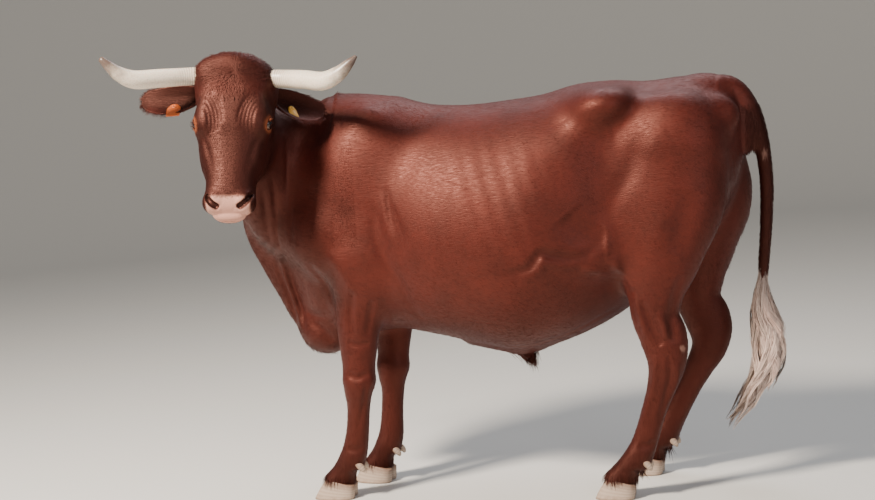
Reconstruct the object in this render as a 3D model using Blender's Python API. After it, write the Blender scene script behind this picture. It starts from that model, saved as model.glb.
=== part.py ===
# A still, life-size retinta bull: every body part a solid of its own, metres, +Z up, head towards -X.
import math
import bmesh
import bpy
import numpy as np
from mathutils import Matrix, Vector

for old in list(bpy.data.objects):
    bpy.data.objects.remove(old, do_unlink=True)

GAP = 0.0003
GRID = 0.010
REACH = 0.12
FLESH_FACES = 7200
HEAD_KEEP = 0.42
LEG_KEEP = 0.7
ORIGIN = np.array([-0.1125, 0.1138, 0.0])


# Smooth curve through a few rows, sampled closely.
def smooth_rows(rows, per=6):
    rows = np.array(rows, float)
    out = []
    for i in range(len(rows) - 1):
        a = rows[max(i - 1, 0)]
        b = rows[i]
        c = rows[i + 1]
        d = rows[min(i + 2, len(rows) - 1)]
        for j in range(per):
            t = j / per
            out.append(b + 0.5 * t * (c - a + t * (2 * a - 5 * b + 4 * c - d + t * (3 * (b - c) + d - a))))
    out.append(rows[-1])
    return np.array(out)


# Length of the step from a superellipse section to a point, to first order.
def section_gap(u, v, w, a, b, c, n):
    m = n if np.isscalar(n) else n[:, None]
    p = np.abs(np.stack([u, v, w], 1)) + 1e-6
    r = np.stack([a, b, c], 1)
    s = p / r
    q = np.sum(s ** m, 1) ** (1.0 / n)
    g = np.linalg.norm(s ** (m - 1) / r, axis=1) * q ** (1.0 - n)
    return (q - 1.0) / np.maximum(g, 1e-3)


# Solid swept along a spine; each row is x, y, z, half width, half height up, half height down, exponent.
class Sweep:
    def __init__(self, rows, up, per=6):
        self.t = smooth_rows(rows, per)
        self.up = np.array(up, float)
        self.c = self.t[:, :3]
        d = np.gradient(self.c, axis=0)
        self.d = d / np.linalg.norm(d, axis=1)[:, None]
        reach = self.t[:, 3:6].max() + REACH
        self.lo = self.c.min(0) - reach
        self.hi = self.c.max(0) + reach

    def __call__(self, p):
        c = self.c
        best = np.full(len(p), 1e9)
        at = np.zeros(len(p))
        for i in range(len(c) - 1):
            ab = c[i + 1] - c[i]
            k = np.clip((p - c[i]) @ ab / (ab @ ab), 0, 1)
            e = p - c[i] - k[:, None] * ab
            e = np.einsum("ij,ij->i", e, e)
            near = e < best
            best[near] = e[near]
            at[near] = i + k[near]
        i = np.minimum(at.astype(int), len(c) - 2)
        k = (at - i)[:, None]
        row = self.t[i] * (1 - k) + self.t[i + 1] * k
        d = self.d[i] * (1 - k) + self.d[i + 1] * k
        d /= np.linalg.norm(d, axis=1)[:, None]
        side = np.cross(d, self.up)
        side /= np.linalg.norm(side, axis=1)[:, None]
        top = np.cross(side, d)
        e = p - row[:, :3]
        u = np.einsum("ij,ij->i", e, side)
        v = np.einsum("ij,ij->i", e, top)
        w = np.einsum("ij,ij->i", e, d)
        high = np.where(v > 0, row[:, 4], row[:, 5])
        cap = np.minimum(row[:, 3], high)
        return section_gap(u, v, w, row[:, 3], high, cap, row[:, 6])


# Ellipsoid turned about the three axes.
class Ball:
    def __init__(self, centre, radii, turn=(0, 0, 0), frame=None):
        self.c = np.array(centre, float)
        self.r = np.array(radii, float)
        rx, ry, rz = np.radians(turn)
        m = Matrix.Rotation(rz, 3, "Z") @ Matrix.Rotation(ry, 3, "Y") @ Matrix.Rotation(rx, 3, "X")
        self.m = np.array(m)
        reach = self.r.max() + REACH
        self.lo = self.c - reach
        self.hi = self.c + reach

    def __call__(self, p):
        e = ((p - self.c) @ self.m) / self.r
        q = np.linalg.norm(e, axis=1) + 1e-6
        g = np.linalg.norm(e / self.r, axis=1) / q
        return (q - 1.0) / g


# Loft along one axis between an upper and a lower line, with its half width and two exponents.
class Loft:
    def __init__(self, rows, low=0.45):
        t = smooth_rows(rows, 12)
        self.t = t
        self.low = low
        reach = REACH
        self.lo = np.array([t[0, 0] - reach, -t[:, 3].max() - reach, t[:, 2].min() - reach])
        self.hi = np.array([t[-1, 0] + reach, t[:, 3].max() + reach, t[:, 1].max() + reach])

    def __call__(self, p):
        t = self.t
        x = np.clip(p[:, 0], t[0, 0], t[-1, 0])
        top, bottom, wide, n_up, n_low = (np.interp(x, t[:, 0], t[:, i]) for i in range(1, 6))
        mid = bottom + self.low * (top - bottom)
        v = p[:, 2] - mid
        high = np.where(v > 0, top - mid, mid - bottom)
        n = np.where(v > 0, n_up, n_low)
        over = p[:, 0] - x
        return section_gap(p[:, 1], v, over, wide, high, np.minimum(wide, high), n)


# Smooth union of two gaps, round over a band of width k.
def blend(a, b, k):
    h = np.clip(0.5 + 0.5 * (b - a) / k, 0, 1)
    return b + (a - b) * h - k * h * (1 - h)


# Adds a form to the gap array, working only on the points close to it.
def join(gap, p, form, k, mirror=False):
    q = p.copy() if mirror else p
    if mirror:
        q[:, 1] = np.abs(q[:, 1])
    near = np.all((q > form.lo) & (q < form.hi), axis=1)
    if near.any():
        gap[near] = blend(gap[near], form(q[near]), k)


# Groove (positive depth) or ridge (negative depth) along a line of points.
class Brush:
    def __init__(self, points, width, depth):
        self.c = smooth_rows(points, 4)
        self.w = width
        self.k = depth
        self.lo = self.c.min(0) - 3 * width
        self.hi = self.c.max(0) + 3 * width

    def __call__(self, p):
        best = np.full(len(p), 1e9)
        for i in range(len(self.c) - 1):
            ab = self.c[i + 1] - self.c[i]
            k = np.clip((p - self.c[i]) @ ab / (ab @ ab), 0, 1)
            e = p - self.c[i] - k[:, None] * ab
            best = np.minimum(best, np.einsum("ij,ij->i", e, e))
        return self.k * np.exp(-best / self.w ** 2)


def carve(gap, p, brush):
    near = np.all((p > brush.lo) & (p < brush.hi), axis=1)
    if near.any():
        gap[near] += brush(p[near])


# Trunk: x, top line, belly line, half width, upper and lower exponent.
TRUNK = Loft([
    (-0.53, 1.02, 0.74, 0.05, 2.0, 2.0),
    (-0.46, 1.20, 0.60, 0.12, 2.0, 2.0),
    (-0.38, 1.33, 0.55, 0.165, 1.9, 2.0),
    (-0.28, 1.395, 0.565, 0.200, 1.7, 2.1),
    (-0.15, 1.400, 0.585, 0.240, 1.7, 2.2),
    (0.00, 1.381, 0.560, 0.295, 1.8, 2.2),
    (0.15, 1.369, 0.525, 0.325, 1.9, 2.2),
    (0.30, 1.376, 0.497, 0.335, 1.9, 2.2),
    (0.42, 1.387, 0.520, 0.325, 2.0, 2.1),
    (0.54, 1.413, 0.562, 0.290, 2.0, 2.1),
    (0.66, 1.418, 0.625, 0.235, 2.0, 2.0),
    (0.78, 1.408, 0.720, 0.195, 2.1, 2.0),
    (0.90, 1.415, 0.820, 0.175, 2.1, 2.0),
    (1.00, 1.412, 0.930, 0.140, 2.0, 2.0),
    (1.06, 1.365, 1.04, 0.090, 2.0, 2.0),
    (1.09, 1.30, 1.13, 0.045, 2.0, 2.0),
])

# Muscle forms of both sides, with how softly each runs into the trunk.
SIDES = [
    (Ball((-0.250, 0.138, 1.12), (0.135, 0.085, 0.265), (0, 20, 0)), 0.12),
    (Ball((-0.370, 0.150, 0.935), (0.120, 0.090, 0.130), (0, -10, 0)), 0.06),
    (Ball((-0.215, 0.165, 0.885), (0.125, 0.075, 0.155), (0, 12, 0)), 0.05),
    (Ball((0.655, 0.168, 1.338), (0.090, 0.078, 0.056), (0, -8, 0)), 0.11),
    (Ball((0.880, 0.130, 1.245), (0.150, 0.090, 0.120), (0, 0, 0)), 0.07),
    (Ball((1.035, 0.085, 1.275), (0.060, 0.045, 0.060), (0, 0, 0)), 0.05),
    (Ball((0.560, 0.215, 0.885), (0.130, 0.060, 0.090), (0, 35, 0)), 0.06),
]

# Brisket, dewlap, sheath and the narrow folds that hang from the trunk.
BRISKET = Ball((-0.425, 0.0, 0.590), (0.105, 0.080, 0.088), (0, -12, 0))
DEWLAP = Sweep([
    (-0.575, -0.165, 1.170, 0.050, 0.080, 0.090, 2.0),
    (-0.600, -0.105, 1.070, 0.044, 0.082, 0.100, 2.0),
    (-0.612, -0.062, 0.960, 0.036, 0.078, 0.100, 2.0),
    (-0.580, -0.032, 0.850, 0.034, 0.074, 0.110, 2.0),
    (-0.540, -0.012, 0.750, 0.034, 0.072, 0.110, 2.0),
    (-0.500, 0.000, 0.670, 0.038, 0.076, 0.090, 2.0),
    (-0.440, 0.000, 0.620, 0.046, 0.076, 0.060, 2.0),
], (-1, 0, -0.3))
SHEATH = Sweep([
    (0.12, 0.0, 0.560, 0.060, 0.04, 0.045, 2.0),
    (0.22, 0.0, 0.530, 0.050, 0.04, 0.040, 2.0),
    (0.295, 0.0, 0.512, 0.040, 0.04, 0.036, 2.0),
    (0.40, 0.0, 0.555, 0.040, 0.04, 0.034, 2.0),
    (0.55, 0.0, 0.620, 0.036, 0.04, 0.034, 2.0),
    (0.70, 0.0, 0.705, 0.030, 0.04, 0.030, 2.0),
], (0, 0, 1))

# Neck, bent to the left towards the head.
NECK = Sweep([
    (-0.12, 0.000, 1.130, 0.150, 0.25, 0.38, 2.0),
    (-0.30, 0.000, 1.120, 0.150, 0.295, 0.36, 2.0),
    (-0.43, -0.030, 1.140, 0.140, 0.285, 0.31, 2.0),
    (-0.53, -0.090, 1.205, 0.128, 0.235, 0.25, 2.0),
    (-0.585, -0.180, 1.280, 0.118, 0.185, 0.19, 2.0),
    (-0.595, -0.270, 1.335, 0.112, 0.150, 0.15, 2.0),
], (0, 0, 1))

CREST = Sweep([
    (-0.52, -0.070, 1.345, 0.090, 0.058, 0.10, 2.0),
    (-0.42, -0.018, 1.343, 0.112, 0.062, 0.10, 2.0),
    (-0.34, 0.000, 1.346, 0.130, 0.070, 0.10, 2.0),
    (-0.26, 0.000, 1.340, 0.130, 0.072, 0.10, 2.0),
    (-0.14, 0.000, 1.315, 0.125, 0.070, 0.10, 2.0),
], (0, 0, 1))

TAIL = Sweep([
    (0.960, 0.000, 1.350, 0.055, 0.060, 0.060, 2.0),
    (1.045, 0.004, 1.352, 0.048, 0.056, 0.050, 2.0),
    (1.100, 0.008, 1.305, 0.040, 0.046, 0.042, 2.0),
    (1.138, 0.010, 1.220, 0.031, 0.034, 0.032, 2.0),
    (1.158, 0.012, 1.110, 0.025, 0.026, 0.026, 2.0),
    (1.160, 0.014, 1.000, 0.023, 0.024, 0.024, 2.0),
    (1.149, 0.016, 0.870, 0.021, 0.022, 0.022, 2.0),
    (1.136, 0.018, 0.760, 0.019, 0.020, 0.020, 2.0),
    (1.130, 0.020, 0.690, 0.015, 0.015, 0.015, 2.0),
], (1, 0, 0))

# Legs: x, y, z, half width across, half depth forward, half depth back, exponent.
FORE_LEFT = Sweep([
    (-0.235, -0.160, 0.860, 0.075, 0.110, 0.120, 2.0),
    (-0.240, -0.158, 0.770, 0.072, 0.100, 0.108, 2.0),
    (-0.262, -0.154, 0.680, 0.062, 0.086, 0.088, 2.0),
    (-0.272, -0.150, 0.580, 0.053, 0.076, 0.074, 2.0),
    (-0.280, -0.147, 0.480, 0.047, 0.062, 0.060, 2.0),
    (-0.284, -0.145, 0.425, 0.051, 0.061, 0.060, 2.2),
    (-0.290, -0.144, 0.380, 0.046, 0.052, 0.048, 2.2),
    (-0.296, -0.142, 0.330, 0.036, 0.042, 0.042, 2.2),
    (-0.307, -0.140, 0.250, 0.034, 0.041, 0.042, 2.2),
    (-0.322, -0.138, 0.185, 0.038, 0.044, 0.047, 2.2),
    (-0.340, -0.137, 0.140, 0.043, 0.046, 0.050, 2.2),
    (-0.370, -0.136, 0.095, 0.042, 0.044, 0.044, 2.2),
    (-0.398, -0.136, 0.062, 0.043, 0.046, 0.046, 2.2),
], (-1, 0, 0))
FORE_RIGHT = Sweep([
    (-0.205, 0.160, 0.860, 0.075, 0.110, 0.120, 2.0),
    (-0.205, 0.152, 0.770, 0.072, 0.100, 0.108, 2.0),
    (-0.214, 0.140, 0.680, 0.062, 0.086, 0.088, 2.0),
    (-0.222, 0.128, 0.580, 0.053, 0.076, 0.074, 2.0),
    (-0.228, 0.118, 0.480, 0.047, 0.062, 0.060, 2.0),
    (-0.232, 0.113, 0.425, 0.051, 0.063, 0.061, 2.2),
    (-0.236, 0.109, 0.380, 0.046, 0.053, 0.049, 2.2),
    (-0.240, 0.106, 0.330, 0.036, 0.042, 0.042, 2.2),
    (-0.248, 0.101, 0.250, 0.034, 0.041, 0.042, 2.2),
    (-0.256, 0.098, 0.185, 0.038, 0.044, 0.047, 2.2),
    (-0.270, 0.096, 0.140, 0.043, 0.046, 0.050, 2.2),
    (-0.296, 0.095, 0.095, 0.042, 0.044, 0.044, 2.2),
    (-0.320, 0.095, 0.062, 0.043, 0.046, 0.046, 2.2),
], (-1, 0, 0))
HIND_LEFT = Sweep([
    (0.860, -0.125, 1.160, 0.105, 0.200, 0.180, 2.0),
    (0.845, -0.140, 1.020, 0.112, 0.205, 0.195, 2.0),
    (0.825, -0.155, 0.900, 0.105, 0.180, 0.170, 2.0),
    (0.812, -0.165, 0.800, 0.090, 0.145, 0.130, 2.0),
    (0.792, -0.170, 0.710, 0.072, 0.104, 0.098, 2.0),
    (0.784, -0.172, 0.630, 0.056, 0.086, 0.082, 2.0),
    (0.800, -0.173, 0.560, 0.047, 0.080, 0.086, 2.0),
    (0.810, -0.173, 0.510, 0.046, 0.076, 0.078, 2.0),
    (0.808, -0.172, 0.450, 0.043, 0.063, 0.064, 2.2),
    (0.788, -0.171, 0.380, 0.037, 0.050, 0.050, 2.2),
    (0.758, -0.170, 0.300, 0.033, 0.043, 0.042, 2.2),
    (0.722, -0.170, 0.200, 0.036, 0.043, 0.044, 2.2),
    (0.692, -0.170, 0.142, 0.043, 0.046, 0.050, 2.2),
    (0.652, -0.170, 0.097, 0.042, 0.043, 0.044, 2.2),
    (0.620, -0.170, 0.062, 0.043, 0.046, 0.046, 2.2),
], (-1, 0, 0))
HIND_RIGHT = Sweep([
    (0.890, 0.125, 1.160, 0.105, 0.200, 0.190, 2.0),
    (0.895, 0.140, 1.020, 0.112, 0.205, 0.210, 2.0),
    (0.898, 0.152, 0.900, 0.105, 0.180, 0.188, 2.0),
    (0.900, 0.160, 0.800, 0.090, 0.145, 0.135, 2.0),
    (0.894, 0.163, 0.710, 0.072, 0.104, 0.100, 2.0),
    (0.892, 0.164, 0.630, 0.056, 0.086, 0.082, 2.0),
    (0.914, 0.164, 0.560, 0.047, 0.080, 0.088, 2.0),
    (0.926, 0.164, 0.510, 0.046, 0.076, 0.080, 2.0),
    (0.918, 0.163, 0.450, 0.043, 0.063, 0.064, 2.2),
    (0.880, 0.162, 0.380, 0.037, 0.050, 0.050, 2.2),
    (0.835, 0.161, 0.300, 0.033, 0.043, 0.042, 2.2),
    (0.778, 0.160, 0.200, 0.036, 0.043, 0.044, 2.2),
    (0.744, 0.160, 0.142, 0.043, 0.046, 0.050, 2.2),
    (0.706, 0.160, 0.097, 0.042, 0.043, 0.044, 2.2),
    (0.676, 0.160, 0.062, 0.043, 0.046, 0.046, 2.2),
], (-1, 0, 0))

# Head frame: LONG runs from poll to muzzle, FRONT out of the forehead, WIDE to the animal's left.
BROW = np.array([-0.557, -0.460, 1.383])
BROW_AT = 0.200
VIEW_R = np.array([0.9653, 0.2494, -0.0779])
VIEW_U = np.array([0.0463, 0.1303, 0.9904])
VIEW_B = np.array([0.2571, -0.9596, 0.1142])
TURN = math.radians(3.0)
PITCH = math.radians(74.6)
WIDE = math.cos(TURN) * VIEW_R + math.sin(TURN) * VIEW_B
FACE = -math.sin(TURN) * VIEW_R + math.cos(TURN) * VIEW_B
LONG = math.cos(PITCH) * FACE - math.sin(PITCH) * VIEW_U
FRONT = math.sin(PITCH) * FACE + math.cos(PITCH) * VIEW_U
HEAD_AXES = np.array([LONG, WIDE, FRONT])


def to_head(p):
    q = (p - BROW) @ HEAD_AXES.T
    q[:, 0] += BROW_AT
    return q


def from_head(q):
    q = np.atleast_2d(np.array(q, float)).copy()
    q[:, 0] -= BROW_AT
    return q @ HEAD_AXES + BROW


# Skull: distance from poll, forehead line, jaw line, half width, upper and lower exponent.
SKULL = Loft([
    (-0.040, -0.068, -0.120, 0.082, 2.3, 2.0),
    (-0.015, -0.028, -0.165, 0.120, 2.5, 2.0),
    (0.030, -0.002, -0.200, 0.141, 2.5, 2.0),
    (0.080, 0.008, -0.220, 0.139, 2.5, 2.0),
    (0.140, 0.008, -0.235, 0.131, 2.6, 2.0),
    (0.200, 0.004, -0.240, 0.124, 2.6, 2.1),
    (0.261, -0.006, -0.222, 0.113, 2.5, 2.1),
    (0.331, -0.012, -0.182, 0.098, 2.4, 2.2),
    (0.398, -0.014, -0.152, 0.085, 2.3, 2.3),
    (0.455, -0.018, -0.140, 0.086, 2.5, 2.3),
    (0.488, -0.030, -0.124, 0.080, 2.5, 2.2),
    (0.508, -0.052, -0.102, 0.056, 2.3, 2.0),
], 0.55)
FACE_FORMS = [
    (Ball((0.192, 0.102, -0.052), (0.050, 0.032, 0.036)), 0.03),
    (Ball((0.165, 0.085, -0.022), (0.060, 0.030, 0.022)), 0.03),
    (Ball((0.265, 0.075, -0.125), (0.095, 0.036, 0.080)), 0.04),
    (Ball((0.468, 0.052, -0.054), (0.038, 0.036, 0.036)), 0.02),
    (Ball((0.035, 0.080, -0.080), (0.060, 0.045, 0.060)), 0.03),
    (Ball((0.075, 0.100, -0.112), (0.038, 0.032, 0.036)), 0.03),
]
CHIN = Ball((0.428, 0.0, -0.120), (0.046, 0.060, 0.032))
POLL = Ball((0.004, -0.012, -0.045), (0.066, 0.123, 0.052))


def head_gap(p):
    q = to_head(p)
    gap = SKULL(q)
    for form, k in FACE_FORMS:
        join(gap, q, form, k, True)
    join(gap, q, CHIN, 0.02)
    join(gap, q, POLL, 0.03)
    m = q.copy()
    m[:, 1] = np.abs(m[:, 1])
    for brush in FACE_LINES:
        carve(gap, m, brush)
    return gap


# Ring of points around an eye, its axis leaning forward.
def eye_ring(radius, start, stop, count=9):
    out = np.array([0.05, 0.88, 0.47])
    out /= np.linalg.norm(out)
    along = np.array([1.0, 0.0, 0.0]) - out * out[0]
    along /= np.linalg.norm(along)
    up = np.cross(out, along)
    mid = np.array([0.196, 0.1135, -0.046]) + out * 0.012
    ring = []
    for i in range(count):
        a = math.radians(start + (stop - start) * i / (count - 1))
        ring.append(mid + radius * (math.cos(a) * along + 0.85 * math.sin(a) * up))
    return ring


FACE_LINES = [
    Brush(eye_ring(0.021, 0, 360, 17), 0.007, -0.0075),
    Brush([(0.452, 0.062, -0.040), (0.466, 0.058, -0.026), (0.478, 0.044, -0.026)], 0.009, 0.016),
    Brush([(0.390, 0.090, -0.106), (0.450, 0.086, -0.098), (0.490, 0.058, -0.092), (0.510, 0.0, -0.088)], 0.009, 0.006),
]


class HeadForm:
    lo = np.array([-0.90, -0.72, 0.92])
    hi = np.array([-0.22, -0.10, 1.72])

    def __call__(self, p):
        return head_gap(p)


HEAD = HeadForm()
LEGS = [(FORE_LEFT, 0.06), (FORE_RIGHT, 0.06), (HIND_LEFT, 0.08), (HIND_RIGHT, 0.08)]


# Signed gap from a point to the whole skin.
def skin_gap(p):
    gap = TRUNK(p)
    for form, k in SIDES:
        join(gap, p, form, k, True)
    join(gap, p, NECK, 0.10)
    join(gap, p, CREST, 0.06)
    join(gap, p, BRISKET, 0.04)
    join(gap, p, DEWLAP, 0.05)
    join(gap, p, SHEATH, 0.04)
    for form, k in LEGS:
        join(gap, p, form, k)
    join(gap, p, TAIL, 0.03)
    join(gap, p, HEAD, 0.05)
    return gap


# Values of the gap on a grid, worked out in full only near the skin.
def sample(func, lo, hi, cell, block=8):
    n = (np.ceil((hi - lo) / cell / block).astype(int)) * block
    grid = [lo[i] + cell * np.arange(n[i]) for i in range(3)]
    mid = [g.reshape(-1, block).mean(1) for g in grid]
    centre = np.stack(np.meshgrid(*mid, indexing="ij"), -1).reshape(-1, 3)
    rough = func(centre)
    value = np.repeat(np.repeat(np.repeat(rough.reshape([len(m) for m in mid]), block, 0), block, 1), block, 2)
    near = np.flatnonzero(np.abs(rough) < cell * block * 1.5)
    counts = [len(m) for m in mid]
    local = np.stack(np.meshgrid(*[np.arange(block)] * 3, indexing="ij"), -1).reshape(-1, 3)
    for start in range(0, len(near), 400):
        part = near[start:start + 400]
        base = np.stack(np.unravel_index(part, counts), 1) * block
        at = (base[:, None, :] + local[None]).reshape(-1, 3)
        value[at[:, 0], at[:, 1], at[:, 2]] = func(lo + cell * at)
    return value


# Closed quad mesh of the zero level of a sampled gap.
def surface_net(value, lo, cell):
    inside = value < 0
    size = np.array(value.shape) - 1
    corners = np.array([(i, j, k) for i in (0, 1) for j in (0, 1) for k in (0, 1)])
    total = np.zeros(size, np.int8)
    for i, j, k in corners:
        total += inside[i:i + size[0], j:j + size[1], k:k + size[2]]
    mixed = np.argwhere((total > 0) & (total < 8))
    index = np.full(size, -1, np.int64)
    index[mixed[:, 0], mixed[:, 1], mixed[:, 2]] = np.arange(len(mixed))
    values = np.stack([value[tuple((mixed + c).T)] for c in corners], 1)
    point = np.zeros((len(mixed), 3))
    count = np.zeros(len(mixed))
    for a in range(8):
        for b in range(a + 1, 8):
            if np.abs(corners[a] - corners[b]).sum() != 1:
                continue
            va = values[:, a]
            vb = values[:, b]
            cross = (va < 0) != (vb < 0)
            t = np.where(cross, va / np.where(cross, va - vb, 1), 0)
            point += np.where(cross[:, None], corners[a] + t[:, None] * (corners[b] - corners[a]), 0)
            count += cross
    point = lo + cell * (mixed + point / count[:, None])
    quads = []
    for axis in range(3):
        one = np.eye(3, dtype=int)[axis]
        u = np.eye(3, dtype=int)[(axis + 1) % 3]
        v = np.eye(3, dtype=int)[(axis + 2) % 3]
        first = inside[:size[0], :size[1], :size[2]]
        second = inside[one[0]:one[0] + size[0], one[1]:one[1] + size[1], one[2]:one[2] + size[2]]
        edge = np.argwhere(first != second)
        edge = edge[(edge @ u > 0) & (edge @ v > 0)]
        ring = [index[tuple((edge - o).T)] for o in (u + v, v, 0 * u, u)]
        ring = np.stack(ring, 1)
        flip = ~first[tuple(edge.T)]
        ring[flip] = ring[flip][:, ::-1]
        quads.append(ring)
    return point, np.concatenate(quads)


# Pulls points onto the zero level.
def settle(func, p, rounds=2, step=0.0005):
    for _ in range(rounds):
        d = func(p)
        g = np.stack([func(p + step * e) - d for e in np.eye(3)], 1) / step
        p = p - np.clip(d / np.maximum((g * g).sum(1), 0.2), -0.01, 0.01)[:, None] * g
    return p


def make_object(name, verts, faces, material=None):
    mesh = bpy.data.meshes.new(name)
    mesh.from_pydata([tuple(v) for v in np.asarray(verts) + 0.0], [], [list(map(int, f)) for f in faces])
    mesh.validate()
    ob = bpy.data.objects.new(name, mesh)
    bpy.context.scene.collection.objects.link(ob)
    if material:
        mesh.materials.append(material)
    return ob


def make_material(name, colour, rough):
    mat = bpy.data.materials.new(name)
    mat.use_nodes = True
    node = mat.node_tree.nodes["Principled BSDF"]
    node.inputs["Base Color"].default_value = (*colour, 1)
    node.inputs["Roughness"].default_value = rough
    mat.diffuse_color = (*colour, 1)
    return mat


COAT = make_material("coat_hide", (0.085, 0.018, 0.010), 0.45)
HORN = make_material("horn_sheath", (0.60, 0.50, 0.36), 0.35)
HOOF = make_material("hoof_horn", (0.50, 0.42, 0.30), 0.50)
EYE = make_material("eyeball", (0.012, 0.007, 0.005), 0.10)
SWITCH = make_material("tail_hair", (0.50, 0.34, 0.23), 0.60)
TAG_ORANGE = make_material("tag_plastic_orange", (0.75, 0.17, 0.04), 0.40)
TAG_YELLOW = make_material("tag_plastic_yellow", (0.85, 0.58, 0.08), 0.40)


def select(ob):
    bpy.ops.object.select_all(action="DESELECT")
    ob.select_set(True)
    bpy.context.view_layer.objects.active = ob


def apply(ob):
    select(ob)
    for mod in list(ob.modifiers):
        bpy.ops.object.modifier_apply(modifier=mod.name)


# Boolean of two closed meshes; the second is removed unless it is kept.
def boolean(ob, other, kind, keep=False):
    mod = ob.modifiers.new("cut", "BOOLEAN")
    mod.operation = kind
    mod.object = other
    mod.solver = "MANIFOLD"
    apply(ob)
    if not keep:
        bpy.data.objects.remove(other, do_unlink=True)


# Tube or claw made of closed rings, capped at both ends.
def ring_mesh(name, rings, material):
    n = len(rings[0])
    verts = [p for ring in rings for p in ring]
    faces = []
    for i in range(len(rings) - 1):
        for j in range(n):
            a = i * n + j
            b = i * n + (j + 1) % n
            faces.append((a, b, b + n, a + n))
    start = len(verts)
    verts.append(np.mean(rings[0], 0))
    verts.append(np.mean(rings[-1], 0))
    for j in range(n):
        faces.append((start, (j + 1) % n, j))
        last = (len(rings) - 1) * n
        faces.append((start + 1, last + j, last + (j + 1) % n))
    ob = make_object(name, verts, faces, material)
    bm = bmesh.new()
    bm.from_mesh(ob.data)
    bmesh.ops.triangulate(bm, faces=bm.faces)
    bmesh.ops.recalc_face_normals(bm, faces=bm.faces)
    if bm.calc_volume(signed=True) < 0:
        bmesh.ops.reverse_faces(bm, faces=bm.faces)
    bm.to_mesh(ob.data)
    bm.free()
    return ob


# Round tube along rows of x, y, z, radius.
def tube(name, rows, sides, material, grow=0.0, per=3):
    t = smooth_rows(rows, per)
    c = t[:, :3]
    d = np.gradient(c, axis=0)
    d /= np.linalg.norm(d, axis=1)[:, None]
    up = np.array([0.0, 0.0, 1.0]) if abs(d[0, 2]) < 0.8 else np.array([1.0, 0.0, 0.0])
    rings = []
    for i in range(len(t)):
        side = np.cross(d[i], up)
        side /= np.linalg.norm(side)
        up = np.cross(side, d[i])
        shift = grow * ((i == len(t) - 1) * 1.0 - (i == 0) * 1.0)
        ring = []
        for j in range(sides):
            a = 2 * math.pi * j / sides
            ring.append(c[i] + d[i] * shift + (t[i, 3] + grow) * (math.cos(a) * side + math.sin(a) * up))
        rings.append(ring)
    return ring_mesh(name, rings, material)


def ball(name, centre, radius, material, segments=16, rings=10):
    bm = bmesh.new()
    bmesh.ops.create_uvsphere(bm, u_segments=segments, v_segments=rings, radius=radius)
    bmesh.ops.triangulate(bm, faces=bm.faces)
    mesh = bpy.data.meshes.new(name)
    bm.to_mesh(mesh)
    bm.free()
    mesh.materials.append(material)
    ob = bpy.data.objects.new(name, mesh)
    ob.location = Vector(centre)
    bpy.context.scene.collection.objects.link(ob)
    select(ob)
    bpy.ops.object.transform_apply(location=True, rotation=True, scale=True)
    return ob


# Upright prism: outline in x and z, from one y to another, each side moved out by grow.
def prism(name, outline, y0, y1, grow=0.0):
    pts = np.array(outline, float)
    area = 0.5 * np.sum(pts[:, 0] * np.roll(pts[:, 1], -1) - np.roll(pts[:, 0], -1) * pts[:, 1])
    if area < 0:
        pts = pts[::-1]
    n = len(pts)
    out = []
    for i in range(n):
        a = pts[i] - pts[i - 1]
        b = pts[(i + 1) % n] - pts[i]
        na = np.array([a[1], -a[0]]) / np.linalg.norm(a)
        nb = np.array([b[1], -b[0]]) / np.linalg.norm(b)
        out.append(pts[i] + grow * (na + nb) / (1 + na @ nb))
    out = np.array(out)
    rings = [[np.array([p[0], y, p[1]]) for p in out] for y in (y0 - grow, y1 + grow)]
    return ring_mesh(name, rings, None)


# Box with its own axes: centre, three axes, three half sizes.
def slab(name, centre, axes, half):
    verts = []
    for i in (-1, 1):
        for j in (-1, 1):
            for k in (-1, 1):
                verts.append(np.array(centre) + i * half[0] * axes[0] + j * half[1] * axes[1] + k * half[2] * axes[2])
    faces = [(0, 1, 3, 2), (4, 6, 7, 5), (0, 4, 5, 1), (2, 3, 7, 6), (0, 2, 6, 4), (1, 5, 7, 3)]
    ob = make_object(name, verts, faces)
    bm = bmesh.new()
    bm.from_mesh(ob.data)
    bmesh.ops.recalc_face_normals(bm, faces=bm.faces)
    bm.to_mesh(ob.data)
    bm.free()
    return ob


def copy_of(ob, name):
    new = ob.copy()
    new.data = ob.data.copy()
    new.name = name
    bpy.context.scene.collection.objects.link(new)
    return new


# Keeps only the largest closed shell of an object.
def keep_largest(ob):
    bm = bmesh.new()
    bm.from_mesh(ob.data)
    bm.verts.ensure_lookup_table()
    seen = set()
    shells = []
    for v in bm.verts:
        if v.index in seen:
            continue
        stack = [v]
        seen.add(v.index)
        shell = []
        while stack:
            w = stack.pop()
            shell.append(w)
            for e in w.link_edges:
                o = e.other_vert(w)
                if o.index not in seen:
                    seen.add(o.index)
                    stack.append(o)
        shells.append(shell)
    shells.sort(key=len, reverse=True)
    for shell in shells[1:]:
        bmesh.ops.delete(bm, geom=shell, context="VERTS")
    bm.to_mesh(ob.data)
    bm.free()


# The whole skin as one mesh, with the head split once more, then thinned out.
low = np.array([-0.955, -0.755, -0.025])
high = np.array([1.30, 0.45, 1.75])
values = sample(skin_gap, low, high, GRID)
points, quads = surface_net(values, low, GRID)
points = settle(skin_gap, points)
fine = make_object("fine", points, quads)
bm = bmesh.new()
bm.from_mesh(fine.data)
at_head = HEAD(points) < 0.012
bm.verts.ensure_lookup_table()
edges = [e for e in bm.edges if at_head[e.verts[0].index] and at_head[e.verts[1].index]]
bmesh.ops.subdivide_edges(bm, edges=edges, cuts=1, use_grid_fill=True)
bmesh.ops.triangulate(bm, faces=bm.faces)
bm.to_mesh(fine.data)
bm.free()
points = np.array([v.co[:] for v in fine.data.vertices])
points = settle(skin_gap, points)
for v, p in zip(fine.data.vertices, points):
    v.co = p
group = fine.vertex_groups.new(name="fine")
weight = np.where(HEAD(points) < 0.012, HEAD_KEEP, np.where(points[:, 2] < 0.55, LEG_KEEP, 1.0))
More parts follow.
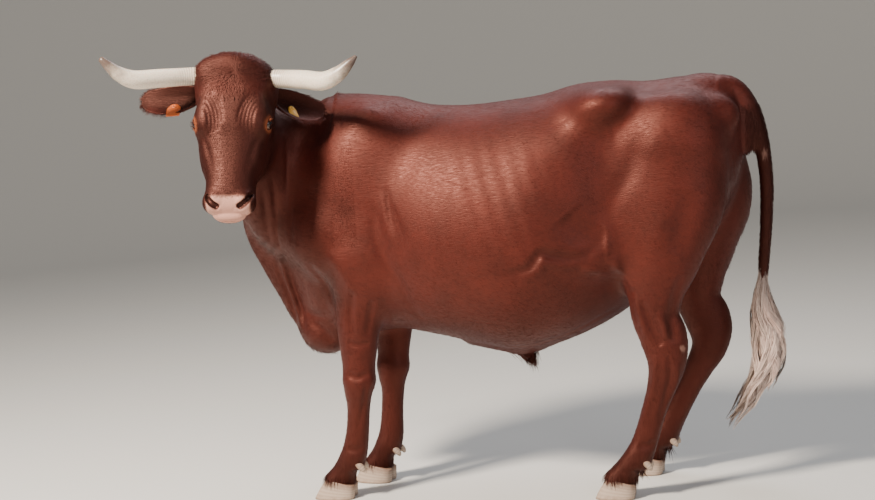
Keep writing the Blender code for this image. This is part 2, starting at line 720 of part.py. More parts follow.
for level in (HEAD_KEEP, LEG_KEEP, 1.0):
    group.add([int(i) for i in np.flatnonzero(weight == level)], level, "REPLACE")


# True where every edge of a mesh has two faces and no two points nearly coincide.
def sound(ob):
    bm = bmesh.new()
    bm.from_mesh(ob.data)
    good = all(len(e.link_faces) == 2 for e in bm.edges)
    count = len(bm.verts)
    bmesh.ops.remove_doubles(bm, verts=bm.verts, dist=0.00001)
    good = good and len(bm.verts) == count
    bm.free()
    return good


for attempt in range(12):
    skin = fine.copy()
    skin.data = fine.data.copy()
    skin.name = "skin"
    bpy.context.scene.collection.objects.link(skin)
    mod = skin.modifiers.new("thin", "DECIMATE")
    mod.ratio = FLESH_FACES * (1 - 0.01 * attempt) / len(fine.data.polygons)
    mod.vertex_group = "fine"
    mod.vertex_group_factor = 1.0
    apply(skin)
    if sound(skin):
        break
    print("thinned again", attempt)
    bpy.data.objects.remove(skin, do_unlink=True)
bpy.data.objects.remove(fine, do_unlink=True)
skin.data.materials.append(COAT)


# Melts points that nearly coincide.
def clean(ob, near=0.000002):
    bm = bmesh.new()
    bm.from_mesh(ob.data)
    bmesh.ops.remove_doubles(bm, verts=bm.verts, dist=near)
    bmesh.ops.dissolve_degenerate(bm, dist=near, edges=bm.edges)
    bmesh.ops.triangulate(bm, faces=bm.faces)
    bm.to_mesh(ob.data)
    bm.free()


print("skin", len(skin.data.vertices), len(skin.data.polygons))


# Copy of an object with every point moved out along its normal.
def grown(ob, amount=GAP):
    new = copy_of(ob, ob.name + "_room")
    bm = bmesh.new()
    bm.from_mesh(new.data)
    bm.normal_update()
    for v in bm.verts:
        v.co += v.normal * amount * 1.25
    bm.to_mesh(new.data)
    bm.free()
    return new


# Takes the part of an object inside a region into a node of its own; the rest keeps a fine gap to it.
def take(ob, name, region, region_grown):
    part = copy_of(ob, name)
    boolean(part, region, "INTERSECT")
    boolean(ob, region_grown, "DIFFERENCE")
    keep_largest(part)
    keep_largest(ob)
    return part


# Head from neck: a plane through the back of the poll and behind the jaw.
CUT_POLL = (-0.075, -0.125)
CUT_JAW = (0.330, -0.268)


def head_region(grow):
    a = np.array(CUT_POLL)
    b = np.array(CUT_JAW)
    along = (b - a) / np.linalg.norm(b - a)
    out = np.array([-along[1], along[0]])
    mid = a + 0.30 * along + out * 0.30
    axes = [along[0] * LONG + along[1] * FRONT, WIDE, out[0] * LONG + out[1] * FRONT]
    centre = from_head((mid[0], 0.0, mid[1]))[0]
    return slab("head_region", centre, axes, (0.50 + grow, 0.40 + grow, 0.30 + grow))


head = take(skin, "head", head_region(0.0), head_region(GAP))

NECK_OUTLINE = [(-0.27, 1.62), (-0.52, 0.62), (-0.56, 0.40), (-1.10, 0.40), (-1.10, 1.80), (-0.27, 1.80)]
TAIL_OUTLINE = [
    (1.075, 1.46), (1.088, 1.310), (1.112, 1.235), (1.126, 1.150), (1.120, 1.02), (1.08, 0.80), (1.05, 0.40),
    (1.30, 0.40), (1.30, 1.46),
]
FORE_UP_L = [(-0.375, 0.735), (-0.120, 0.700), (-0.100, 0.46), (-0.375, 0.46)]
FORE_UP_R = [(-0.340, 0.735), (-0.085, 0.700), (-0.060, 0.46), (-0.340, 0.46)]
FORE_DOWN = [(-0.70, 0.48), (0.05, 0.48), (0.05, -0.06), (-0.70, -0.06)]
HIND_UP = [(0.655, 0.690), (0.750, 0.760), (1.120, 0.860), (1.120, 0.45), (0.655, 0.45)]
HIND_DOWN = [(0.40, 0.47), (1.20, 0.47), (1.20, -0.06), (0.40, -0.06)]


def leg_region(up, down, side, inner, grow):
    y = sorted((side * inner, side * 0.45))
    region = prism("region", up, y[0], y[1], grow)
    y = sorted((side * 0.002, side * 0.45))
    boolean(region, prism("region_low", down, y[0], y[1], grow), "UNION")
    return region


neck = take(
    skin, "neck", prism("region", NECK_OUTLINE, -0.80, 0.50), prism("region", NECK_OUTLINE, -0.80, 0.50, GAP)
)
tail = take(
    skin, "tail", prism("region", TAIL_OUTLINE, -0.20, 0.20), prism("region", TAIL_OUTLINE, -0.20, 0.20, GAP)
)
legs = {}
for name, up, down, side, inner in (
    ("fore_leg_left", FORE_UP_L, FORE_DOWN, -1, 0.080),
    ("fore_leg_right", FORE_UP_R, FORE_DOWN, 1, 0.080),
    ("hind_leg_left", HIND_UP, HIND_DOWN, -1, 0.045),
    ("hind_leg_right", HIND_UP, HIND_DOWN, 1, 0.045),
):
    legs[name] = take(
        skin, name, leg_region(up, down, side, inner, 0.0), leg_region(up, down, side, inner, GAP)
    )
torso = skin
torso.name = "torso"

# Hooves: two claws to a foot under a sloping coronet plane, and two dewclaws behind the fetlock.
# Foot: leg, x and y of the middle, length, toe direction in degrees from -X, fetlock x, y and z.
FEET = [
    ("fore_leg_left", "fore_left", -0.412, -0.136, 0.150, -4, (-0.300, -0.137, 0.118)),
    ("fore_leg_right", "fore_right", -0.334, 0.095, 0.150, 4, (-0.230, 0.096, 0.118)),
    ("hind_leg_left", "hind_left", 0.606, -0.170, 0.138, -3, (0.728, -0.170, 0.120)),
    ("hind_leg_right", "hind_right", 0.662, 0.160, 0.138, 3, (0.780, 0.160, 0.120)),
]
TOE_HIGH = 0.076
HEEL_HIGH = 0.050
CLAW_WIDE = 0.054
TOE_SLOPE = 0.052
CLEFT = 0.0016
CLAW_OUTLINE = [
    (-0.42, 0.06), (-0.15, 0.01), (0.15, 0.02), (0.38, 0.10), (0.49, 0.26), (0.47, 0.44), (0.36, 0.66),
    (0.18, 0.86), (-0.06, 0.98), (-0.28, 0.98), (-0.44, 0.80), (-0.50, 0.45), (-0.48, 0.18),
]


def foot_axes(turn):
    a = math.radians(turn)
    ahead = np.array([-math.cos(a), math.sin(a), 0.0])
    return ahead, np.array([-ahead[1], ahead[0], 0.0])


def claw(name, x, y, long, turn, side):
    ahead, left = foot_axes(turn)
    rings = []
    for t in (0.0, 0.06, 0.40, 0.75, 1.0):
        ring = []
        for f, o in CLAW_OUTLINE:
            inset = 0.93 if t == 0.0 else 1.0
            back = TOE_SLOPE * t * (f + 0.5) + 0.004 * t * (0.5 - f)
            u = long * f * inset - back
            v = side * (CLEFT + CLAW_WIDE * (0.04 + 0.96 * o) * (inset - 0.13 * t * o))
            high = HEEL_HIGH + (TOE_HIGH - HEEL_HIGH) * (u / long + 0.5) / (1 - TOE_SLOPE / long)
            ring.append(np.array([x, y, 0]) + ahead * u + left * v + np.array([0, 0, t * high]))
        rings.append(ring)
    return ring_mesh(name, rings, HOOF)


for leg, foot, x, y, long, turn, fetlock in FEET:
    ob = legs[leg]
    ahead, left = foot_axes(turn)
    rise = (TOE_HIGH - HEEL_HIGH) / (1 - TOE_SLOPE / long) / long
    plane = ahead + np.array([0, 0, rise])
    plane /= np.linalg.norm(plane)
    normal = np.cross(left, plane)
    normal *= np.sign(normal[2])
    base = np.array([x, y, HEEL_HIGH + rise * 0.5 * long + GAP])
    boolean(ob, slab("under", base - normal * 0.10, [plane, left, normal], (0.25, 0.10, 0.10)), "DIFFERENCE")
    keep_largest(ob)
    for side, word in ((1, "left"), (-1, "right")):
        claw(f"claw_{foot}_{word}", x, y, long, turn, side)
        spot = np.array(fetlock) + left * side * 0.026
        back = -0.018 * ahead
        down = np.array([0, 0, -0.016])
        dew = tube(f"dewclaw_{foot}_{word}", [
            (*(spot - back * 1.0 - down * 0.6), 0.009),
            (*(spot - back * 0.2), 0.0125),
            (*(spot + 0.35 * back + down * 0.7), 0.010),
            (*(spot + 0.55 * back + down * 1.3), 0.004),
        ], 8, HOOF, 0.0, 1)
        boolean(ob, grown(dew), "DIFFERENCE")
    keep_largest(ob)

# Horns: rows of distance from poll, across, forward, radius; the root sits inside the poll.
HORN_LEFT = [
    (0.030, 0.105, -0.062, 0.028), (0.027, 0.135, -0.062, 0.031), (0.032, 0.175, -0.050, 0.031),
    (0.050, 0.245, -0.012, 0.032), (0.070, 0.312, 0.026, 0.0315), (0.058, 0.365, 0.060, 0.026),
    (0.030, 0.404, 0.084, 0.016), (0.012, 0.424, 0.094, 0.007),
]
HORN_RIGHT = [
    (0.020, -0.105, -0.060, 0.028), (0.017, -0.135, -0.060, 0.031), (0.024, -0.180, -0.048, 0.031),
    (0.044, -0.255, -0.010, 0.032), (0.062, -0.325, 0.026, 0.0315), (0.052, -0.372, 0.052, 0.026),
    (0.031, -0.404, 0.073, 0.0185), (0.015, -0.424, 0.085, 0.0125),
]
for name, rows in (("horn_left", HORN_LEFT), ("horn_right", HORN_RIGHT)):
    horn = tube(name, [(*from_head(r[:3])[0], r[3]) for r in rows], 12, HORN, 0.0, 2)
    boolean(head, grown(horn), "DIFFERENCE")

# Eyes.
EYE_AT = (0.196, 0.1145, -0.045)
EYE_R = 0.0195
for name, side in (("eye_left", 1), ("eye_right", -1)):
    spot = from_head((EYE_AT[0], side * EYE_AT[1], EYE_AT[2]))[0]
    eye = ball(name, spot, EYE_R, EYE, 14, 10)
    boolean(head, ball("room", spot, EYE_R + 2 * GAP, EYE, 14, 10), "DIFFERENCE")

# Ears: cupped vanes; rows of share of length, half width, cup depth, half thickness.
EAR_ROWS = [
    (0.00, 0.024, 0.016, 0.0070), (0.10, 0.031, 0.026, 0.0060), (0.22, 0.041, 0.032, 0.0050),
    (0.36, 0.050, 0.031, 0.0042), (0.52, 0.054, 0.025, 0.0038), (0.68, 0.050, 0.018, 0.0034),
    (0.82, 0.044, 0.012, 0.0030), (0.93, 0.032, 0.007, 0.0026), (1.00, 0.014, 0.002, 0.0022),
]
EAR_COLUMNS = 6


def ear_point(root, axes, long, u, v):
    rows = np.array(EAR_ROWS)
    half, cup, thick = (np.interp(u, rows[:, 0], rows[:, i]) for i in (1, 2, 3))
    along, wide, out = axes
    mid = root + along * long * u + wide * (half * v + 0.010 * math.sin(math.pi * u))
    return mid + out * cup * (v * v - 1.0), thick


def ear(name, root, tip, wide_hint):
    root = from_head(root)[0]
    tip = from_head(tip)[0]
    along = tip - root
    long = np.linalg.norm(along)
    along /= long
    wide = np.array(wide_hint) @ HEAD_AXES
    wide -= along * (wide @ along)
    wide /= np.linalg.norm(wide)
    out = np.cross(along, wide)
    out *= np.sign(out @ FRONT)
    axes = (along, wide, out)
    front = []
    back = []
    e = 0.01
    for row in EAR_ROWS:
        for j in range(EAR_COLUMNS + 1):
            u = row[0]
            v = 2 * j / EAR_COLUMNS - 1
            p, thick = ear_point(root, axes, long, u, v)
            du = ear_point(root, axes, long, u + e, v)[0] - ear_point(root, axes, long, u - e, v)[0]
            dv = ear_point(root, axes, long, u, v + e)[0] - ear_point(root, axes, long, u, v - e)[0]
            n = np.cross(du, dv)
            n /= np.linalg.norm(n)
            n *= np.sign(n @ out)
            front.append(p + n * thick)
            back.append(p - n * thick)
    cols = EAR_COLUMNS + 1
    rows = len(EAR_ROWS)
    total = rows * cols
    faces = []
    for i in range(rows - 1):
        for j in range(cols - 1):
            a = i * cols + j
            quad = (a, a + 1, a + cols + 1, a + cols)
            faces += [(quad[0], quad[1], quad[2]), (quad[0], quad[2], quad[3])]
            faces += [(total + quad[1], total + quad[0], total + quad[2])]
            faces += [(total + quad[2], total + quad[0], total + quad[3])]
    rim = [j for j in range(cols)] + [i * cols + cols - 1 for i in range(1, rows)]
    rim += [(rows - 1) * cols + j for j in range(cols - 2, -1, -1)] + [i * cols for i in range(rows - 2, 0, -1)]
    for i in range(len(rim)):
        a = rim[i]
        b = rim[(i + 1) % len(rim)]
        faces += [(a, total + a, b), (b, total + a, total + b)]
    ob = make_object(name, front + back, faces, COAT)
    bm = bmesh.new()
    bm.from_mesh(ob.data)
    bmesh.ops.recalc_face_normals(bm, faces=bm.faces)
    bm.to_mesh(ob.data)
    bm.free()
    return ob, (root, axes, long)


ear_right, place_right = ear("ear_right", (0.058, -0.112, -0.112), (0.070, -0.342, -0.160), (1.0, 0.0, 0.10))
ear_left, place_left = ear("ear_left", (0.058, 0.110, -0.112), (0.102, 0.288, -0.200), (1.0, 0.0, 0.25))
for ob in (ear_right, ear_left):
    boolean(head, grown(ob), "DIFFERENCE")
keep_largest(head)


# Ear tag: a flap before the ear, a pin through it and a button behind it.
def tag(name, place, u, v, flap, drop, material, ob):
    root, axes, long = place
    along, wide, out = axes
    p, thick = ear_point(root, axes, long, u, v)
    e = 0.01
    du = ear_point(root, axes, long, u + e, v)[0] - ear_point(root, axes, long, u - e, v)[0]
    dv = ear_point(root, axes, long, u, v + e)[0] - ear_point(root, axes, long, u, v - e)[0]
    n = np.cross(du, dv)
    n /= np.linalg.norm(n)
    n *= np.sign(n @ out)
    pin = tube(name, [(*(p - n * 0.011), 0.003), (*p, 0.003), (*(p + n * 0.013), 0.003)], 6, material, 0.0, 1)
    front = tube("front", [(*(p + n * 0.0085), 0.0105), (*(p + n * 0.013), 0.0095)], 9, material, 0.0, 1)
    behind = tube("behind", [(*(p - n * 0.0120), 0.0095), (*(p - n * 0.0080), 0.0105)], 9, material, 0.0, 1)
    fall = np.array([0.0, 0.0, -1.0])
    fall -= n * (fall @ n)
    fall /= np.linalg.norm(fall)
    across = np.cross(fall, n)
    plate = slab("plate", p + n * 0.0118 + fall * drop, [fall, across, n], flap)
    boolean(pin, front, "UNION")
    boolean(pin, behind, "UNION")
    boolean(pin, plate, "UNION")
    keep_largest(pin)
    boolean(ob, grown(pin), "DIFFERENCE")
    keep_largest(ob)
    return pin


tag("ear_tag_right", place_right, 0.50, 0.45, (0.026, 0.024, 0.0009), 0.026, TAG_ORANGE, ear_right)
tag("ear_tag_left", place_left, 0.46, 0.16, (0.024, 0.014, 0.0009), 0.022, TAG_YELLOW, ear_left)

# Scrotum between the thighs.
scrotum = ball("scrotum", (0, 0, 0), 1.0, COAT, 14, 10)
for v in scrotum.data.vertices:
    v.co = Vector((0.805 + 0.048 * v.co.x, 0.040 * v.co.y, 0.700 + 0.078 * v.co.z))
boolean(torso, grown(scrotum), "DIFFERENCE")
keep_largest(torso)

# Flat tapered lock along a path; each station has its own half width and half thickness.
def lock(path, flat, half_wide, half_thick, material):
    t = np.array(path, float)
    d = np.gradient(t, axis=0)
    d /= np.linalg.norm(d, axis=1)[:, None]
    rings = []
    last = len(t) - 1
    for i, p in enumerate(t):
        share = i / last
        taper = min(1.0, 0.55 + 2.5 * share) * (1.0 - 0.88 * share ** 2.2)
        side = np.cross(d[i], flat)
        side /= np.linalg.norm(side)
        out = np.cross(side, d[i])
        w = half_wide * taper
        h = half_thick * taper
        rings.append([p + side * w, p + out * h, p - side * w, p - out * h])
    return ring_mesh("lock", rings, material)


# Joins many closed pieces to one object in a single union.
def fuse(ob, pieces):
    group = bpy.data.collections.new("pieces")
    bpy.context.scene.collection.children.link(group)
    for piece in pieces:
        bpy.context.scene.collection.objects.unlink(piece)
        group.objects.link(piece)
    mod = ob.modifiers.new("fuse", "BOOLEAN")
    mod.operation = "UNION"
    mod.operand_type = "COLLECTION"
    mod.collection = group
    mod.solver = "MANIFOLD"
    apply(ob)
    for piece in list(group.objects):
        bpy.data.objects.remove(piece, do_unlink=True)
    bpy.data.collections.remove(group)
    keep_largest(ob)


# Tail switch: wavy locks round a core, from the end of the dock to the tips.
SWITCH_TOP = 0.700
SWITCH_LOCKS = 24
# Height, middle x, half width along x, half width across.
SWITCH_SHAPE = np.array([
    (0.170, 0.975, 0.020, 0.010), (0.220, 1.010, 0.042, 0.020), (0.260, 1.055, 0.052, 0.028),
    (0.330, 1.094, 0.056, 0.036), (0.400, 1.130, 0.056, 0.042), (0.470, 1.141, 0.058, 0.044),
    (0.540, 1.138, 0.058, 0.042), (0.610, 1.122, 0.042, 0.034), (0.660, 1.122, 0.026, 0.024),
    (0.710, 1.130, 0.010, 0.010), (0.740, 1.131, 0.006, 0.006),
])
SWITCH_Y = 0.020
switch = tube("tail_switch", [
    (1.131, SWITCH_Y, 0.740, 0.017), (1.128, SWITCH_Y, 0.680, 0.018), (1.126, SWITCH_Y, 0.600, 0.022),
    (1.134, SWITCH_Y, 0.500, 0.024), (1.120, SWITCH_Y, 0.400, 0.020), (1.085, SWITCH_Y, 0.310, 0.010),
], 8, SWITCH, 0.0, 1)
locks = []
for i in range(SWITCH_LOCKS):
    turn = 2.39996 * i
    out = math.sqrt((i + 0.6) / SWITCH_LOCKS)
    a = out * math.cos(turn)
    b = out * math.sin(turn)
    tip = 0.185 + 0.16 * max(a, 0) + 0.05 * abs(b) + 0.05 * (i % 3)
    if i in (1, 4):
        tip = 0.172
    path = []
    for k in range(6):
        t = k / 5
        z = 0.735 + (tip - 0.735) * t
        x, wide_x, wide_y = (np.interp(z, SWITCH_SHAPE[:, 0], SWITCH_SHAPE[:, j]) for j in (1, 2, 3))
        wave = 0.007 * math.sin(9.0 * t + 1.7 * i) * t
        spread = 0.86 * min(1.0, 0.25 + 1.6 * t)
        path.append((x + a * wide_x * spread + wave, SWITCH_Y + b * wide_y * spread + 0.6 * wave, z))
    flat = np.array([a + 0.01, b, 0.0])
    locks.append(lock(path, flat / np.linalg.norm(flat), 0.0135, 0.0065, SWITCH))
fuse(switch, locks)
box_axes = list(np.eye(3))
boolean(switch, slab("above", (1.13, 0, SWITCH_TOP - GAP + 0.2), box_axes, (0.2, 0.2, 0.2)), "DIFFERENCE")
boolean(tail, slab("below", (1.13, 0, SWITCH_TOP - 0.2), box_axes, (0.06, 0.2, 0.2)), "DIFFERENCE")
keep_largest(switch)
keep_largest(tail)


# Lock that lies along the skin: it starts below the surface, lifts and comes down towards its tip.
def lying_lock(func, start, heading, long, bend, half_wide, half_thick, lift, sink, material):
    p = settle(func, np.array([start], float), 3)
    path = []
    normals = []
    heading = np.array(heading, float)
    for k in range(6):
        g = np.array([func(p + 0.001 * e)[0] - func(p)[0] for e in np.eye(3)])
        g /= np.linalg.norm(g)
        t = k / 5
        rise = -sink + (sink + lift) * math.sin(min(1.0, 1.6 * t) * math.pi / 2)
        path.append(p[0] + g * rise)
        normals.append(g)
        heading -= g * (heading @ g)
        heading /= np.linalg.norm(heading)
        heading += np.cross(g, heading) * bend
        p = settle(func, p + heading * long / 5, 2)
    return lock(path, np.mean(normals, 0), half_wide, half_thick, material)


# Cowlick of the poll, turned out from a whorl between the horns.
POLL_LOCKS = 12
WHORL = (0.030, 0.012, 0.006)
locks = []
for i in range(POLL_LOCKS):
    turn = 2 * math.pi * (i + 0.3 * (i % 2)) / POLL_LOCKS
    out = 0.012 + 0.020 * (i % 3)
    start = (WHORL[0] + out * math.cos(turn), WHORL[1] + 1.4 * out * math.sin(turn), WHORL[2])
    heading = (math.cos(turn + 0.5) * LONG + math.sin(turn + 0.5) * WIDE)
    locks.append(lying_lock(
        head_gap, from_head(start)[0], heading, 0.052 + 0.006 * (i % 3), 0.16, 0.0095, 0.0048, 0.0055, 0.006, COAT
    ))
fuse(head, locks)

# Tuft at the tip of the sheath.
locks = []
for i in range(5):
    x = 0.296 + 0.009 * (i - 2)
    y = 0.009 * ((i % 2) * 2 - 1)
    tip = 0.447 + 0.007 * abs(i - 2)
    path = [(x, y, 0.492), (x, y, 0.478), (x + 0.002 * (i - 2), 0.8 * y, 0.464), (x + 0.004 * (i - 2), 0.4 * y, tip)]
    locks.append(lock(path, np.array([0.3, 1.0, 0.0]), 0.0085, 0.0055, COAT))
fuse(torso, locks)

for ob in list(bpy.data.objects):
    clean(ob)
    ob.data.transform(Matrix.Translation(Vector(ORIGIN)))
    for poly in ob.data.polygons:
        poly.use_smooth = True
    print(ob.name, len(ob.data.polygons))
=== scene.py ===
import math
import bmesh
import bpy
import numpy as np
from mathutils import Matrix, Vector


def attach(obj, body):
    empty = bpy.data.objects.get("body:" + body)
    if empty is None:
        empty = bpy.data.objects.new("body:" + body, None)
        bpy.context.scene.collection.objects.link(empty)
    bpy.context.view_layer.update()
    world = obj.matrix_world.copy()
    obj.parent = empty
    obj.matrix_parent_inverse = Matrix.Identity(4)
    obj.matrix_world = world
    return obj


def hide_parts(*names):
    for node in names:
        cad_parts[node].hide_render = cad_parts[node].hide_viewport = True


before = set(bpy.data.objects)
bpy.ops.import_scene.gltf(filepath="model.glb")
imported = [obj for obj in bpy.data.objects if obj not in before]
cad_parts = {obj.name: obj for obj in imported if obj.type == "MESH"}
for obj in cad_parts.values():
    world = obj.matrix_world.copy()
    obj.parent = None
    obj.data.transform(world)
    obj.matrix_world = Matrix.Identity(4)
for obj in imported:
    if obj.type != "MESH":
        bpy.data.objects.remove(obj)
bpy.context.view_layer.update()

# The hide. One unbroken skin over head, ears, neck, trunk, legs, scrotum and tail. The real one is thick
# leather over muscle, with loose folds on the neck and dewlap and bony points at hook, pin, knee and hock.
# It is built as one smooth form from the named rows of each body part, a coat's depth inside the solids.
REACH = 0.12
ORIGIN = np.array([-0.1125, 0.1138, 0.0])


# Smooth curve through a few rows, sampled closely.
def smooth_rows(rows, per=6):
    rows = np.array(rows, float)
    out = []
    for i in range(len(rows) - 1):
        a = rows[max(i - 1, 0)]
        b = rows[i]
        c = rows[i + 1]
        d = rows[min(i + 2, len(rows) - 1)]
        for j in range(per):
            t = j / per
            out.append(b + 0.5 * t * (c - a + t * (2 * a - 5 * b + 4 * c - d + t * (3 * (b - c) + d - a))))
    out.append(rows[-1])
    return np.array(out)


# Each row at unit length.
def unit(rows, least=0.0):
    return rows / np.maximum(np.linalg.norm(rows, axis=1), least)[:, None]


# Length of the step from a superellipse section to a point, to first order.
def section_gap(u, v, w, a, b, c, n):
    m = n if np.isscalar(n) else n[:, None]
    p = np.abs(np.stack([u, v, w], 1)) + 1e-6
    r = np.stack([a, b, c], 1)
    s = p / r
    q = np.sum(s ** m, 1) ** (1.0 / n)
    g = np.linalg.norm(s ** (m - 1) / r, axis=1) * q ** (1.0 - n)
    return (q - 1.0) / np.maximum(g, 1e-3)


# Square of the distance from each point to a line of points, and where along it that nearest place lies.
def nearest_on(line, p):
    best = np.full(len(p), 1e9)
    at = np.zeros(len(p))
    for i in range(len(line) - 1):
        ab = line[i + 1] - line[i]
        k = np.clip((p - line[i]) @ ab / (ab @ ab), 0, 1)
        e = p - line[i] - k[:, None] * ab
        e = np.einsum("ij,ij->i", e, e)
        near = e < best
        best[near] = e[near]
        at[near] = i + k[near]
    return best, at


# Solid swept along a spine; each row is x, y, z, half width, half height up, half height down, exponent.
class Sweep:
    def __init__(self, rows, up, per=6):
        self.t = smooth_rows(rows, per)
        self.up = np.array(up, float)
        self.c = self.t[:, :3]
        d = np.gradient(self.c, axis=0)
        self.d = unit(d)
        reach = self.t[:, 3:6].max() + REACH
        self.lo = self.c.min(0) - reach
        self.hi = self.c.max(0) + reach

    def __call__(self, p):
        at = nearest_on(self.c, p)[1]
        i = np.minimum(at.astype(int), len(self.c) - 2)
        k = (at - i)[:, None]
        row = self.t[i] * (1 - k) + self.t[i + 1] * k
        d = self.d[i] * (1 - k) + self.d[i + 1] * k
        d = unit(d)
        side = np.cross(d, self.up)
        side = unit(side)
        top = np.cross(side, d)
        e = p - row[:, :3]
        u = np.einsum("ij,ij->i", e, side)
        v = np.einsum("ij,ij->i", e, top)
        w = np.einsum("ij,ij->i", e, d)
        high = np.where(v > 0, row[:, 4], row[:, 5])
        cap = np.minimum(row[:, 3], high)
        return section_gap(u, v, w, row[:, 3], high, cap, row[:, 6])


# Ellipsoid turned about the three axes.
class Ball:
    def __init__(self, centre, radii, turn=(0, 0, 0)):
        self.c = np.array(centre, float)
        self.r = np.array(radii, float)
        rx, ry, rz = np.radians(turn)
        m = Matrix.Rotation(rz, 3, "Z") @ Matrix.Rotation(ry, 3, "Y") @ Matrix.Rotation(rx, 3, "X")
        self.m = np.array(m)
        reach = self.r.max() + REACH
        self.lo = self.c - reach
        self.hi = self.c + reach

    def __call__(self, p):
        e = ((p - self.c) @ self.m) / self.r
        q = np.linalg.norm(e, axis=1) + 1e-6
        g = np.linalg.norm(e / self.r, axis=1) / q
        return (q - 1.0) / g


# Loft along one axis between an upper and a lower line, with its half width and two exponents.
class Loft:
    def __init__(self, rows, low=0.45):
        t = smooth_rows(rows, 12)
        self.t = t
        self.low = low
        self.lo = np.array([t[0, 0], -t[:, 3].max(), t[:, 2].min()]) - REACH
        self.hi = np.array([t[-1, 0], t[:, 3].max(), t[:, 1].max()]) + REACH

    def __call__(self, p):
        t = self.t
        x = np.clip(p[:, 0], t[0, 0], t[-1, 0])
        top, bottom, wide, n_up, n_low = (np.interp(x, t[:, 0], t[:, i]) for i in range(1, 6))
        mid = bottom + self.low * (top - bottom)
        v = p[:, 2] - mid
        high = np.where(v > 0, top - mid, mid - bottom)
        n = np.where(v > 0, n_up, n_low)
        over = p[:, 0] - x
        return section_gap(p[:, 1], v, over, wide, high, np.minimum(wide, high), n)


# Smooth union of two gaps, round over a band of width k.
def blend(a, b, k):
    h = np.clip(0.5 + 0.5 * (b - a) / k, 0, 1)
    return b + (a - b) * h - k * h * (1 - h)


# Adds a form to the gap array, working only on the points close to it.
def join(gap, p, form, k, mirror=False):
    q = p.copy() if mirror else p
    if mirror:
        q[:, 1] = np.abs(q[:, 1])
    near = np.all((q > form.lo) & (q < form.hi), axis=1)
    if near.any():
        gap[near] = blend(gap[near], form(q[near]), k)


# Groove (positive depth) or ridge (negative depth) along a line of points.
class Brush:
    def __init__(self, points, width, depth):
        self.c = smooth_rows(points, 4)
        self.w = width
        self.k = depth
        self.lo = self.c.min(0) - 3 * width
        self.hi = self.c.max(0) + 3 * width

    def __call__(self, p):
        return self.k * np.exp(-nearest_on(self.c, p)[0] / self.w ** 2)


def carve(gap, p, brush):
    near = np.all((p > brush.lo) & (p < brush.hi), axis=1)
    if near.any():
        gap[near] += brush(p[near])


# Trunk: x, top line, belly line, half width, upper and lower exponent.
TRUNK = Loft([
    (-0.53, 1.02, 0.74, 0.05, 2.0, 2.0),
    (-0.46, 1.20, 0.60, 0.12, 2.0, 2.0),
    (-0.38, 1.33, 0.55, 0.165, 1.9, 2.0),
    (-0.28, 1.395, 0.565, 0.200, 1.7, 2.1),
    (-0.15, 1.400, 0.585, 0.240, 1.7, 2.2),
    (0.00, 1.381, 0.560, 0.295, 1.8, 2.2),
    (0.15, 1.369, 0.525, 0.325, 1.9, 2.2),
    (0.30, 1.376, 0.497, 0.335, 1.9, 2.2),
    (0.42, 1.387, 0.520, 0.325, 2.0, 2.1),
    (0.54, 1.413, 0.562, 0.290, 2.0, 2.1),
    (0.66, 1.418, 0.625, 0.235, 2.0, 2.0),
    (0.78, 1.408, 0.720, 0.195, 2.1, 2.0),
    (0.90, 1.415, 0.820, 0.175, 2.1, 2.0),
    (1.00, 1.412, 0.930, 0.140, 2.0, 2.0),
    (1.06, 1.365, 1.04, 0.090, 2.0, 2.0),
    (1.09, 1.30, 1.13, 0.045, 2.0, 2.0),
])

# Muscle forms of both sides, with how softly each runs into the trunk.
SIDES = [
    (Ball((-0.250, 0.138, 1.12), (0.135, 0.085, 0.265), (0, 20, 0)), 0.12),
    (Ball((-0.370, 0.150, 0.935), (0.120, 0.090, 0.130), (0, -10, 0)), 0.06),
    (Ball((-0.215, 0.165, 0.885), (0.125, 0.075, 0.155), (0, 12, 0)), 0.05),
    (Ball((0.655, 0.168, 1.338), (0.090, 0.078, 0.056), (0, -8, 0)), 0.11),
    (Ball((0.880, 0.130, 1.245), (0.150, 0.090, 0.120), (0, 0, 0)), 0.07),
    (Ball((1.035, 0.085, 1.275), (0.060, 0.045, 0.060), (0, 0, 0)), 0.05),
    (Ball((0.560, 0.215, 0.885), (0.130, 0.060, 0.090), (0, 35, 0)), 0.06),
]

# Brisket, dewlap and sheath, which hang from the trunk.
BRISKET = Ball((-0.425, 0.0, 0.590), (0.105, 0.080, 0.088), (0, -12, 0))
DEWLAP = Sweep([
    (-0.575, -0.165, 1.170, 0.050, 0.080, 0.090, 2.0),
    (-0.600, -0.105, 1.070, 0.044, 0.082, 0.100, 2.0),
    (-0.612, -0.062, 0.960, 0.036, 0.078, 0.100, 2.0),
    (-0.580, -0.032, 0.850, 0.034, 0.074, 0.110, 2.0),
    (-0.540, -0.012, 0.750, 0.034, 0.072, 0.110, 2.0),
    (-0.500, 0.000, 0.670, 0.038, 0.076, 0.090, 2.0),
    (-0.440, 0.000, 0.620, 0.046, 0.076, 0.060, 2.0),
], (-1, 0, -0.3))
SHEATH = Sweep([
    (0.12, 0.0, 0.560, 0.060, 0.04, 0.045, 2.0),
    (0.22, 0.0, 0.530, 0.050, 0.04, 0.040, 2.0),
    (0.295, 0.0, 0.512, 0.040, 0.04, 0.036, 2.0),
    (0.40, 0.0, 0.555, 0.040, 0.04, 0.034, 2.0),
    (0.55, 0.0, 0.620, 0.036, 0.04, 0.034, 2.0),
    (0.70, 0.0, 0.705, 0.030, 0.04, 0.030, 2.0),
], (0, 0, 1))

